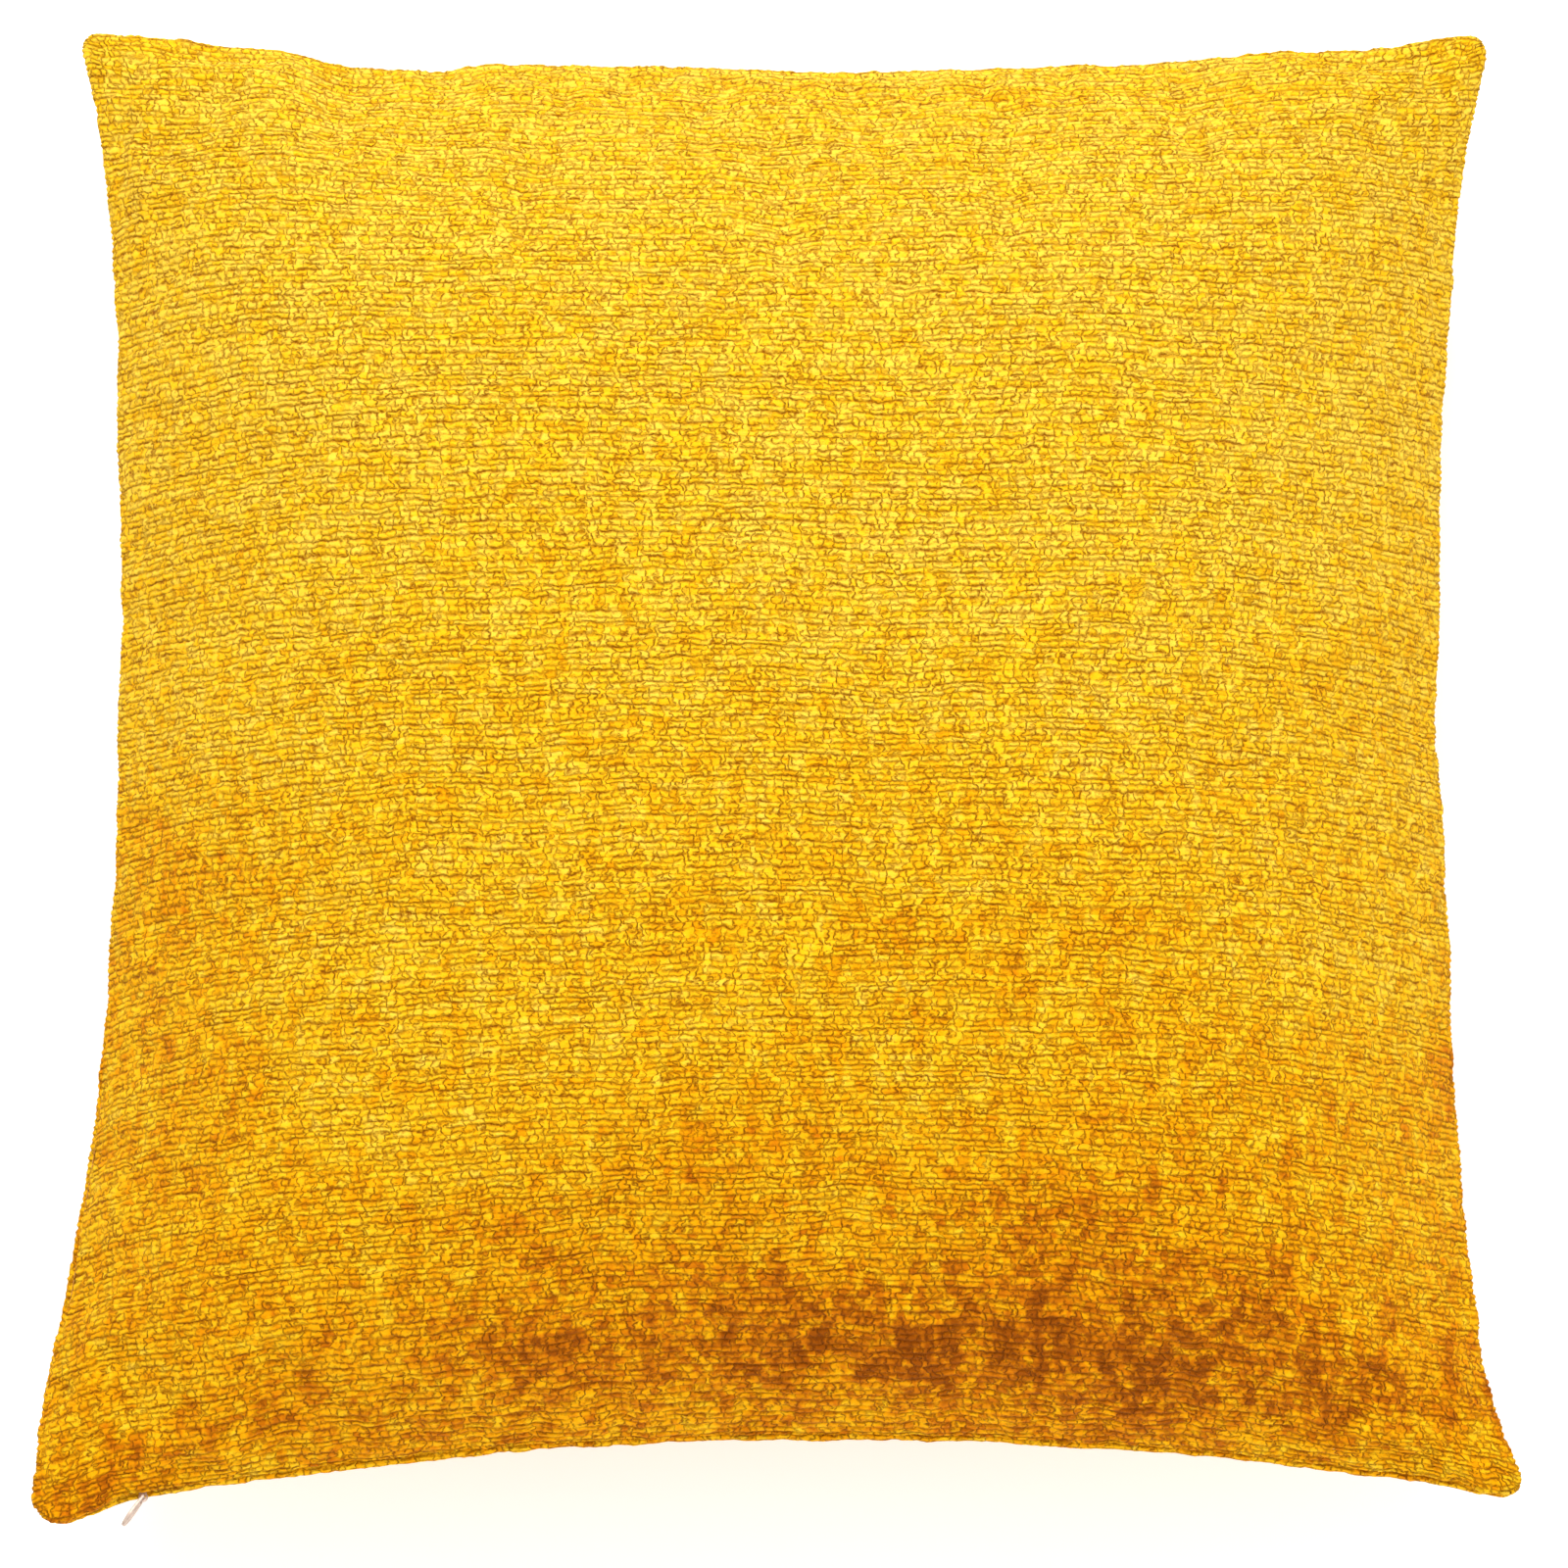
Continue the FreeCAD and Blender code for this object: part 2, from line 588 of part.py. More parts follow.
def pull():
    """A flat drop-shaped tab, forked round the bail, with a crossbar through the bail's eye.

    Its own frame has X from the hinge to the tip and Y along the hinge.
    """
    body = new_body("pull_tab")
    plate = new_sketch(body, "pull_plate_outline", "XY_Plane")
    half_outline = [
        ("-pull_start", "pull_top_half"),
        ("pull_belly", "pull_belly_half"),
        ("pull_length - pull_tip_radius", "pull_tip_radius"),
    ]
    mirrored = [(x, f"-({y})") for x, y in reversed(half_outline)]
    add_polygon(plate, half_outline + mirrored)
    pad(body, "pull_plate", plate, "pull_thickness", midplane=True)
    tip = new_sketch(body, "pull_tip_outline", "XY_Plane")
    add_circle(tip, "pull_length - pull_tip_radius", "0 * pull_length", "pull_tip_radius")
    pad(body, "pull_tip", tip, "pull_thickness", midplane=True)
    fork = new_sketch(body, "pull_fork_outline", "XY_Plane")
    add_rectangle(fork, "-2 * pull_start", "pull_eye_end", "-pull_eye_half", "pull_eye_half")
    pocket_through(body, "pull_fork", fork, "4 * pull_thickness")
    bar = new_sketch(body, "pull_crossbar_section", "XZ_Plane")
    add_circle(bar, "0 * pull_pin", "0 * pull_pin", "pull_pin")
    pad(body, "pull_crossbar", bar, "2 * pull_top_half", midplane=True)
    hinge = Placement(Vector(-cell("bail_place"), 0, cell("bail_height")), Rotation())
    lean = Rotation(Vector(0, 1, 0), cell("pull_angle")) * Rotation(Vector(0, 0, 1), 180)
    body.Placement = slider_frame() * hinge * Placement(Vector(), lean)


# ---------------------------------------------------------------- threads


def edge_thread(name, edge, radius, start, span):
    """Seam thread along part of one edge, in the slit between the panels.

    radius is about the centre of the edge's bow, and so are the angle it starts at and the angle it covers.
    """
    body = new_body(name)
    sketch = new_sketch(body, f"{name}_section", "XZ_Plane")
    add_circle(sketch, radius, "0 * thread_size", "thread_size / 2")
    revolve(body, f"{name}_sweep", sketch, span)
    place_at_bow(body, edge, start)


def insert_threads():
    """The insert's seam: a run of thread round it, and the closing seam over the gap in that run."""
    body = new_body("insert_thread_ring")
    path = new_sketch(body, "insert_thread_path", "XY_Plane")
    add_outline(path, "insert_thread_inset", "insert_bottom_thread", "inner_corner_radius")
    section = new_sketch(body, "insert_thread_section", "YZ_Plane")
    add_circle(section, "-(bottom_mid - insert_bottom_thread)", "0 * thread_size", "thread_size / 2")
    ring = body.newObject("PartDesign::AdditivePipe", "insert_thread_sweep")
    ring.Profile = section
    ring.Spine = path
    body.setExpression("Placement.Base.z", bound("seam_height"))
    opening = doc.addObject("Part::Box", "insert_opening")
    opening.Length = cell("opening_length")
    opening.setExpression("Length", bound("opening_length"))
    opening.Width = BOX_HALF
    opening.Height = BOX_HALF
    opening.Placement = Placement(Vector(-cell("opening_length") / 2, -BOX_HALF, 0), Rotation())
    opening.setExpression("Placement.Base.x", bound("-opening_length / 2"))
    cut("insert_seam_thread", body, opening)
    closing = "bottom_radius + insert_bottom_thread"
    edge_thread("insert_closing_thread", "bottom", closing, -cell("closing_angle"), "2 * closing_angle")


# ---------------------------------------------------------------- the pillow


def soft_pieces():
    """Cover panels, insert panels and filling, each between two of the nested skins."""
    skins = {level[0]: skin(level[0]) for level in LEVELS}
    depth = "2 * prism_depth"
    cover = cut("cover_closed", skins["cover_outside"], skins["cover_inside"])
    opened = cut("cover_with_channel", cover, zip_channel())
    front = slab("front_half", "seam_height + panel_gap / 2", depth)
    back = slab("back_half", f"seam_height - panel_gap / 2 - {depth}", depth)
    common("front_panel", opened, front)
    common("back_panel", opened, back)
    insert = cut("insert_closed", skins["insert_outside"], skins["insert_inside"])
    insert_front = slab("insert_front_half", "seam_height + insert_gap / 2", depth)
    insert_back = slab("insert_back_half", f"seam_height - insert_gap / 2 - {depth}", depth)
    common("insert_front_panel", insert, insert_front)
    common("insert_back_panel", insert, insert_back)
    skins["filling"].Label = "insert_filling"


def zip_pieces():
    for name, side in (("front", 1), ("back", -1)):
        zip_tape(f"zip_tape_{name}", side)
        zip_stitch(f"zip_stitch_{name}", side)
        zip_coil(f"zip_coil_{name}", side)
    top_start, top_span = cell("top_stop_start"), "top_stop_span"
    zip_stop("zip_top_stop_front", "stop_inner", "stop_outer", top_start, top_span)
    zip_stop("zip_top_stop_back", "-stop_outer", "-stop_inner", top_start, top_span)
    bottom_start = -cell("bottom_stop_start + bottom_stop_span")
    zip_stop("zip_bottom_stop", "-bottom_stop_half", "bottom_stop_half", bottom_start, "bottom_stop_span")
    slider()
    pull()


def cover_seams():
    """Seam thread round three edges of the cover, and in the short seams past both ends of the zip."""
    side = cell("side_thread_angle")
    side_radius = "side_radius + cover_thread_inset"
    edge_thread("seam_thread_left", "left", side_radius, -side, "2 * side_thread_angle")
    edge_thread("seam_thread_right", "right", side_radius, -side, "2 * side_thread_angle")
    top = cell("top_thread_angle")
    edge_thread("seam_thread_top", "top", "top_radius + cover_thread_inset", -top, "2 * top_thread_angle")
    start, span = cell("zip_end_thread_start"), "zip_end_thread_span"
    radius = "bottom_radius + cover_thread_inset"
    edge_thread("seam_thread_bottom_left", "bottom", radius, start, span)
    edge_thread("seam_thread_bottom_right", "bottom", radius, -start - cell(span), span)


NODES = [
    "front_panel",
    "back_panel",
    "seam_thread_left",
    "seam_thread_top",
    "seam_thread_right",
    "seam_thread_bottom_left",
    "seam_thread_bottom_right",
    "zip_tape_front",
    "zip_tape_back",
    "zip_stitch_front",
    "zip_stitch_back",
    "zip_coil_front",
    "zip_coil_back",
    "zip_top_stop_front",
    "zip_top_stop_back",
    "zip_bottom_stop",
    "slider_body",
    "pull_tab",
    "insert_front_panel",
    "insert_back_panel",
    "insert_filling",
    "insert_seam_thread",
    "insert_closing_thread",
]


def check_and_write():
    """Writes each node's shape once every object has computed and every node is one valid solid."""
    for item in doc.Objects:
        if "Invalid" in item.State or "Error" in item.State:
            raise RuntimeError(f"{item.Label} did not compute: {item.State}")
    shapes = {}
    for name in NODES:
        shape = doc.getObjectsByLabel(name)[0].Shape
        if shape.isNull() or not shape.isValid() or len(shape.Solids) != 1:
            raise RuntimeError(f"{name} is not one valid solid")
        shapes[name] = shape
    os.makedirs("parts", exist_ok=True)
    for name, shape in shapes.items():
        shape.exportStep(os.path.join("parts", f"{name}.step"))
        print(f"{name}: {shape.Volume:.1f} mm3", flush=True)


fill_sheet()
soft_pieces()
zip_pieces()
cover_seams()
insert_threads()
doc.recompute()
check_and_write()
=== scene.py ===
"""A chenille throw pillow's looks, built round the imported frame: cover, zip, seams and insert. Metres."""

import math

import bmesh
import bpy
import numpy as np
from mathutils import Matrix, Vector


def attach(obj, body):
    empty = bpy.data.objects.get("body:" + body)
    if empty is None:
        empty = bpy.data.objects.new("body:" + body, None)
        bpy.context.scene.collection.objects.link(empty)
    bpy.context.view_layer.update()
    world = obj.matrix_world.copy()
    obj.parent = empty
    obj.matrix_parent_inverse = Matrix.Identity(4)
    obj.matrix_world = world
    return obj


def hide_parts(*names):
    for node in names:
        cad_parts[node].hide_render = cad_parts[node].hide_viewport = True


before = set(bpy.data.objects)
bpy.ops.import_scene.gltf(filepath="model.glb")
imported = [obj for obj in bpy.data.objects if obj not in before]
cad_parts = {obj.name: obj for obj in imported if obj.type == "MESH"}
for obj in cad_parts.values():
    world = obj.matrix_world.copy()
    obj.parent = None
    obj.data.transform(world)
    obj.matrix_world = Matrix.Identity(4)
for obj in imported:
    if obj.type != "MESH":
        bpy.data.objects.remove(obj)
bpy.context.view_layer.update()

MM = 0.001

# The cover's outline and crown, as in the frame
SEAM_HEIGHT = 78 * MM
SIDE_MID, SIDE_RADIUS = 229 * MM, 1530 * MM
TOP_MID, TOP_RADIUS = 234 * MM, 1560 * MM
BOTTOM_MID, BOTTOM_RADIUS = 231 * MM, 1370 * MM
HALF_WIDTH, HALF_HEIGHT = 250.0 * MM, 254.3 * MM
CORNER_RADIUS = 12 * MM
FRONT_CROWN, BACK_CROWN = 83 * MM, 80.5 * MM
RISE = 3.5 * MM

# The zip: its axis inside the outline, the tilt of its mouth and the slider's place
ZIP_INSET = 3.6 * MM
ZIP_RISE = 0.2 * MM
ZIP_TURN = math.radians(18)
ZIP_RADIUS = BOTTOM_RADIUS + ZIP_INSET
ZIP_END = 222.5 * MM
SLIDER_ANGLE = math.radians(8.95)
SLIDER_PLACE, SLIDER_HALF = -215 * MM, 16 * MM

# How a stuffed pillow leaves the even outline: corners moved, edges filled out or pulled in.
# The zip's edge keeps its bow, so that the slider still runs along it.
CORNER_SHIFTS = {
    (-1, 1): (4.5 * MM, 10 * MM),
    (1, 1): (3.5 * MM, 4 * MM),
    (-1, -1): (-2 * MM, -3.5 * MM),
    (1, -1): (-0.5 * MM, 1 * MM),
}
LEFT_MIDDLE, LEFT_UPPER, LEFT_LOWER = 1 * MM, 4.5 * MM, -4 * MM
RIGHT_MIDDLE, RIGHT_UPPER, RIGHT_LOWER = -5 * MM, -4 * MM, -8.5 * MM
TOP_MIDDLE = 5 * MM
TOP_DIP, TOP_DIP_PLACE, TOP_DIP_HALF = 3.4 * MM, -132 * MM, 30 * MM
WANDER = 1.1 * MM

# Chenille
ROW_PITCH = 2.17 * MM
TUFT = 3.1 * MM
HALF_CLOTH = 254 * MM
ROWS = 234
PILE = 0.55 * MM
LIP_RADIUS = 2.2 * MM
GROOVE_HALF = 0.8 * MM
SEWN_HALF = 0.12 * MM
LIP_STEPS, INNER_STEPS = 6, 96
INNER_SHARE, INNER_SHARE_ZIP = 0.955, 0.935
EDGE_FADE, EDGE_STILL = 26 * MM, 6 * MM
FACE_RAGGED, LIP_RAGGED = 0.09 * MM, 0.30 * MM
CORNER_START, CORNER_END = 217 * MM, 252 * MM
# Shifts each row's tufts so far along that no two rows match
ROW_OFFSET = 37.37

# On the lower left edge the front's lip sits inside the back's: how far, where and over what half length
LIP_INSET, LIP_INSET_PLACE, LIP_INSET_HALF = 2.2 * MM, -142 * MM, 58 * MM

# Where the front is painted darker: pile brushed down, and painted shade along the zip where the crown turns
# from the light and in a fold on the right edge. Middle and half size in mm, and how much
BRUSHED_AND_SHADED = (
    (82, -193, 66, 18, 0.20),
    (34, -201, 24, 14, 0.13),
    (168, -216, 66, 17, 0.20),
    (-56, -201, 60, 10, 0.06),
    (-135, -212, 42, 16, 0.17),
    (-180, -230, 45, 12, 0.17),
    (-229, -243, 16, 10, 0.22),
    (70, -206, 175, 28, 0.18),
    (95, -164, 62, 18, 0.12),
    (-12, -186, 16, 9, 0.08),
    (40, -140, 95, 22, 0.08),
    (-120, -175, 50, 16, 0.09),
    (-30, -72, 45, 10, 0.08),
    (100, -70, 55, 9, 0.10),
    (-210, -45, 20, 32, 0.11),
    (-198, -125, 28, 34, 0.06),
    # Painted shade of a fold on the right edge
    (231, -95, 8, 34, 0.22),
    (70, 230, 90, 5, 0.12),
)


# ---- noise


def noise(x, y, cell, seed):
    """Smooth noise from -1 to 1, with features about one cell wide."""
    table = np.random.default_rng(seed).uniform(-1, 1, (128, 128))
    fx, fy = np.asarray(x) / cell + 37.3, np.asarray(y) / cell + 53.7
    ix, iy = np.floor(fx).astype(int), np.floor(fy).astype(int)
    fx, fy = fx - ix, fy - iy
    fx, fy = fx * fx * (3 - 2 * fx), fy * fy * (3 - 2 * fy)
    a, b = table[iy % 128, ix % 128], table[iy % 128, (ix + 1) % 128]
    c, d = table[(iy + 1) % 128, ix % 128], table[(iy + 1) % 128, (ix + 1) % 128]
    return (a * (1 - fx) + b * fx) * (1 - fy) + (c * (1 - fx) + d * fx) * fy


def smooth_step(x, low, high):
    t = np.clip((x - low) / (high - low), 0, 1)
    return t * t * (3 - 2 * t)


# ---- the pillow's plan and crown


def reach(mid, radius, along):
    """How far out an inward-bowed edge is, at a place along it."""
    return mid + radius - np.sqrt(radius**2 - along**2)


def rounded(u, v):
    """Rounds the corners of the square that u and v run over, from -1 to 1."""
    round_u, round_v = CORNER_RADIUS / HALF_WIDTH, CORNER_RADIUS / HALF_HEIGHT
    pu = np.clip((np.abs(u) - (1 - round_u)) / round_u, 0, None)
    pv = np.clip((np.abs(v) - (1 - round_v)) / round_v, 0, None)
    corner = (pu > 0) & (pv > 0)
    scale = np.where(corner, np.maximum(pu, pv) / np.maximum(np.hypot(pu, pv), 1e-9), 1)
    new_u = np.where(corner, 1 - round_u + round_u * pu * scale, np.abs(u))
    new_v = np.where(corner, 1 - round_v + round_v * pv * scale, np.abs(v))
    return new_u * np.sign(u), new_v * np.sign(v)


def plan(u, v, inset=0.0, zip_inset=0.0):
    """Where a place on the square lies in plan, inside the bowed outline."""
    u, v = rounded(u, v)
    x = u * (reach(SIDE_MID, SIDE_RADIUS, v * HALF_HEIGHT) - inset)
    top = reach(TOP_MID, TOP_RADIUS, u * HALF_WIDTH) - inset
    bottom = reach(BOTTOM_MID, BOTTOM_RADIUS, u * HALF_WIDTH) - zip_inset
    y = v * np.where(v > 0, top, bottom)
    for (side_u, side_v), (shift_x, shift_y) in CORNER_SHIFTS.items():
        weight = (1 + side_u * u) * (1 + side_v * v) / 4
        if side_v < 0:
            weight = weight * smooth_step(np.abs(x), CORNER_START, CORNER_END)
        x = x + weight * shift_x
        y = y + weight * shift_y
    middle = (1 - v**2) ** 2
    upper = 4 * np.clip(v, 0, 1) ** 3 * (1 - np.clip(v, 0, 1) ** 3)
    lower = 4 * np.clip(-v, 0, 1) ** 3 * (1 - np.clip(-v, 0, 1) ** 3)
    left = LEFT_MIDDLE * middle + LEFT_UPPER * upper + LEFT_LOWER * lower
    right = RIGHT_MIDDLE * middle + RIGHT_UPPER * upper + RIGHT_LOWER * lower
    dip = TOP_DIP * np.exp(-(((x - TOP_DIP_PLACE) / TOP_DIP_HALF) ** 4))
    free = smooth_step(v, -0.97, -0.7)
    x = x + left * np.clip(-u, 0, 1) ** 3 + right * np.clip(u, 0, 1) ** 3
    x = x + free * WANDER * noise(x * 0.5, y, 38 * MM, 3)
    y = y + np.clip(v, 0, 1) ** 3 * (TOP_MIDDLE * (1 - u**2) ** 2 - dip)
    y = y + free * WANDER * noise(x, y * 0.5, 38 * MM, 4)
    return x, y


def swell(place):
    """Height of a stuffed panel across its width: 1 in the middle, 0 at the seams."""
    return 1 - 0.2 * place**2 - 0.4 * place**4 - 0.4 * place**6


def crowned(u, v, side, crown, rise, inset=0.0, zip_inset=0.0):
    x, y = plan(u, v, inset, zip_inset)
    z = SEAM_HEIGHT + side * (rise + crown * swell(u) * swell(v))
    return np.stack([x, y, z], -1)


def grid_faces(index, flip=False):
    """Four-sided faces over a grid of vertex numbers."""
    quads = np.stack([index[:-1, :-1], index[:-1, 1:], index[1:, 1:], index[1:, :-1]], -1).reshape(-1, 4)
    return quads[:, ::-1] if flip else quads


def border(index):
    """The vertex numbers round a grid's edge, counter-clockwise from the corner at -X, -Y."""
    return np.concatenate([index[0, :-1], index[:-1, -1], index[-1, :0:-1], index[:0:-1, 0]])


def square(n):
    """u and v, each from -1 to 1, over a grid of n by n faces."""
    w = np.linspace(-1, 1, n + 1)
    return np.meshgrid(w, w)


def sewn_grids(n):
    """Vertex numbers of two grids that share their border: which are inside it, then front and back."""
    inner = np.zeros((n + 1, n + 1), bool)
    inner[1:-1, 1:-1] = True
    front = np.arange((n + 1) ** 2).reshape(n + 1, n + 1)
    back = front.copy()
    back[inner] = (n + 1) ** 2 + np.arange(inner.sum())
    return inner, front, back


def shown(name, data):
    """An object of the scene, from its data."""
    made = bpy.data.objects.new(name, data)
    bpy.context.scene.collection.objects.link(made)
    return made


def new_mesh(name, places, faces):
    """A mesh object from an array of places, and a list of arrays of three- or four-sided faces."""
    mesh = bpy.data.meshes.new(name)
    faces = [f for f in faces if len(f)]
    sizes = np.concatenate([np.full(len(f), f.shape[1]) for f in faces])
    corners = np.concatenate([f.ravel() for f in faces]).astype(np.int32)
    mesh.vertices.add(len(places))
    mesh.vertices.foreach_set("co", np.asarray(places, np.float32).ravel())
    mesh.loops.add(len(corners))
    mesh.loops.foreach_set("vertex_index", corners)
    mesh.polygons.add(len(sizes))
    mesh.polygons.foreach_set("loop_start", (np.cumsum(sizes) - sizes).astype(np.int32))
    mesh.polygons.foreach_set("use_smooth", np.ones(len(sizes), bool))
    mesh.update(calc_edges=True)
    mesh.validate()
    return shown(name, mesh)


# ---- inflating the cover

SIM_STEPS = 72
SIM_FRAMES = 16
CAP_OUT, CAP_IN = 6 * MM, 3.0 * MM


def inflate():
    """Both panels as grids of places, sewn along the outline and blown up by a cloth simulation."""
    n = SIM_STEPS
    u, v = square(n)
    front = crowned(u, v, 1, FRONT_CROWN, 0)
    back = crowned(u, v, -1, BACK_CROWN, 0)
    inner, index_front, index_back = sewn_grids(n)
    target = np.concatenate([front.reshape(-1, 3), back[inner]])
    start = target.copy()
    start[:, 2] = SEAM_HEIGHT + (start[:, 2] - SEAM_HEIGHT) * 0.97
    cloth = new_mesh("inflating", start, [grid_faces(index_front), grid_faces(index_back, True)])
    seam = cloth.vertex_groups.new(name="seam")
    seam.add(index_front[~inner].tolist(), 1.0, "REPLACE")
    modifier = cloth.modifiers.new("cloth", "CLOTH")
    settings = modifier.settings
    settings.quality = 6
    settings.mass = 0.05
    settings.tension_stiffness = settings.compression_stiffness = 30
    settings.shear_stiffness = 6
    settings.bending_stiffness = 3
    settings.tension_damping = settings.compression_damping = settings.shear_damping = 4
    settings.bending_damping = 0.5
    settings.vertex_group_mass = "seam"
    settings.use_pressure = True
    settings.uniform_pressure_force = 8
    settings.shrink_min = -0.012
    settings.effector_weights.gravity = 0
    modifier.collision_settings.use_collision = False
    modifier.collision_settings.use_self_collision = False
    modifier.point_cache.frame_start = 1
    modifier.point_cache.frame_end = SIM_FRAMES
    for frame_number in range(1, SIM_FRAMES + 1):
        bpy.context.scene.frame_set(frame_number)
    moved = cloth.evaluated_get(bpy.context.evaluated_depsgraph_get()).data
    places = np.zeros(len(moved.vertices) * 3)
    moved.vertices.foreach_get("co", places)
    places = places.reshape(-1, 3)
    bpy.context.scene.frame_set(1)
    bpy.data.objects.remove(cloth)
    away = places - target
    far = np.linalg.norm(away, axis=1)
    outward = (away[:, 2] * np.sign(target[:, 2] - SEAM_HEIGHT)) > 0
    cap = np.where(outward, CAP_OUT, CAP_IN)
    kept = cap * np.tanh(far / cap) / np.maximum(far, 1e-9)
    places = target + away * kept[:, None]
    front = places[: (n + 1) ** 2].reshape(n + 1, n + 1, 3)
    sewn = front.copy()
    sewn[inner] = places[(n + 1) ** 2 :]
    return front, sewn


def sample(grid, u, v):
    """Smooth (Catmull-Rom) values of a grid of places at any u and v from -1 to 1."""
    n = grid.shape[0] - 1
    padded = np.pad(grid, ((1, 1), (1, 1), (0, 0)), mode="reflect", reflect_type="odd")
    result = 0
    columns, rows = (np.clip((place + 1) / 2 * n, 0, n - 1e-9) for place in (u, v))
    ix, iy = columns.astype(int), rows.astype(int)
    weights = []
    for f in (columns - ix, rows - iy):
        weights.append(
            [
                -0.5 * f + f**2 - 0.5 * f**3,
                1 - 2.5 * f**2 + 1.5 * f**3,
                0.5 * f + 2 * f**2 - 1.5 * f**3,
                -0.5 * f**2 + 0.5 * f**3,
            ]
        )
    for j in range(4):
        row = 0
        for i in range(4):
            row = row + padded[iy + j, ix + i] * weights[0][i][..., None]
        result = result + row * weights[1][j][..., None]
    return result


# ---- the zip's own frame


def zip_place(angle, across, out):
    """A place by the zip: angle about its bow's centre, across its face and out of its mouth."""
    angle, across, out = np.broadcast_arrays(angle, across, out)
    inward = across * math.sin(ZIP_TURN) - out * math.cos(ZIP_TURN)
    height = across * math.cos(ZIP_TURN) + out * math.sin(ZIP_TURN)
    radius = ZIP_RADIUS + inward
    x = -radius * np.sin(angle)
    y = radius * np.cos(angle) - (BOTTOM_MID + BOTTOM_RADIUS)
    return np.stack([x, y, SEAM_HEIGHT + ZIP_RISE + height], -1)


# ---- chenille


def pile_height(row, s, seed):
    """How far the pile stands, 0 to 1: rounded rows of tufts, uneven along their length."""
    crest = np.sin(np.pi * (row % 1)) ** 0.7
    uneven = 0.5 + 0.5 * noise(s, row * ROW_PITCH * 1.5, 3.4 * MM, seed)
    broken = np.clip(0.65 + 0.55 * noise(s, row * ROW_PITCH * 1.7, 6 * MM, seed + 1), 0.1, 1)
    return 1 - (1 - crest) * broken - 0.35 * uneven


def nap_and_shade(x, y, seed, patches):
    """How dark the pile is painted, 0 to 1: pile brushed down, and painted shade where the crown turns from
    the light; more towards the zip, and in patches.
    """
    wide = 0.6 * noise(x, y * 1.3, 60 * MM, seed) + 0.4 * noise(x, y * 1.6, 24 * MM, seed + 1)
    blotches = noise(x * 1.6, y * 0.8, 9 * MM, seed + 2)
    # Darker towards the zip: partly pile brushed down, partly painted shade where the crown turns from the
    # light
    low = smooth_step(-y, -0.16, 0.26)
    dark_share = 0.13 + 0.27 * low + (0.05 + 0.10 * low) * wide
    for middle_x, middle_y, half_x, half_y, share in patches:
        far = ((x / MM - middle_x) / half_x) ** 2 + ((y / MM - middle_y) / half_y) ** 2
        dark_share = dark_share + share * np.exp(-0.7 * far) * (1 + 0.4 * wide + 0.45 * blotches)
    return np.clip(dark_share, 0, 1)


def outline_loop(u, v, side):
    """The outline's loop: places, outward directions, the lip's centres and last angles, share of zip."""
    x, y = plan(u, v)
    loop = np.stack([x, y], -1)
    along = np.roll(loop, -1, 0) - np.roll(loop, 1, 0)
    along /= np.linalg.norm(along, axis=1, keepdims=True)
    out = np.stack([along[:, 1], -along[:, 0]], -1)
    plain = np.stack([np.full(len(x), -LIP_RADIUS), np.full(len(x), side * (LIP_RADIUS + SEWN_HALF))], -1)
    across, ahead = side * (LIP_RADIUS + GROOVE_HALF), -0.7 * MM
    zipped = np.array(
        [
            -ZIP_INSET - across * math.sin(ZIP_TURN) + ahead * math.cos(ZIP_TURN),
            ZIP_RISE + across * math.cos(ZIP_TURN) + ahead * math.sin(ZIP_TURN),
        ]
    )
    by_zip = (v < -0.5) & (np.abs(v) > np.abs(u) * 0.9)
    share = np.where(by_zip, 1 - smooth_step(np.abs(x), ZIP_END, ZIP_END + 11 * MM), 0)[:, None]
    centre = plain * (1 - share) + zipped * share
    end = math.pi - side * ZIP_TURN * share[:, 0]
    return loop, out, centre, end, share[:, 0]


def spread(shift, near):
    """Spreads the moves of a grid's four edges over the cloth near them."""
    low, high = shift[0][None], shift[-1][None]
    left, right = shift[:, 0][:, None], shift[:, -1][:, None]
    total = near["low"][..., None] * low + near["high"][..., None] * high
    total = total + near["left"][..., None] * left + near["right"][..., None] * right
    for edge_v, corner_row in (("low", 0), ("high", -1)):
        for edge_u, corner_column in (("left", 0), ("right", -1)):
            both = (near[edge_v] * near[edge_u])[..., None]
            total = total - both * shift[corner_row, corner_column]
    return total


def inner_face(grid, side):
    """Places of a panel's plain inner face, set in from its edge."""
    u, v = square(INNER_STEPS)
    zip_share = np.where(v < 0, INNER_SHARE_ZIP, INNER_SHARE)
    places = sample(grid, u * INNER_SHARE, v * zip_share)
    rim = np.clip(1 - np.maximum(np.abs(u), np.abs(v)), 0, 1)
    places[..., 2] += side * (RISE - 3.0 * MM)
    places[..., 2] += side * -2.0 * MM * smooth_step(rim, 0, 0.2)
    return places.reshape(-1, 3)


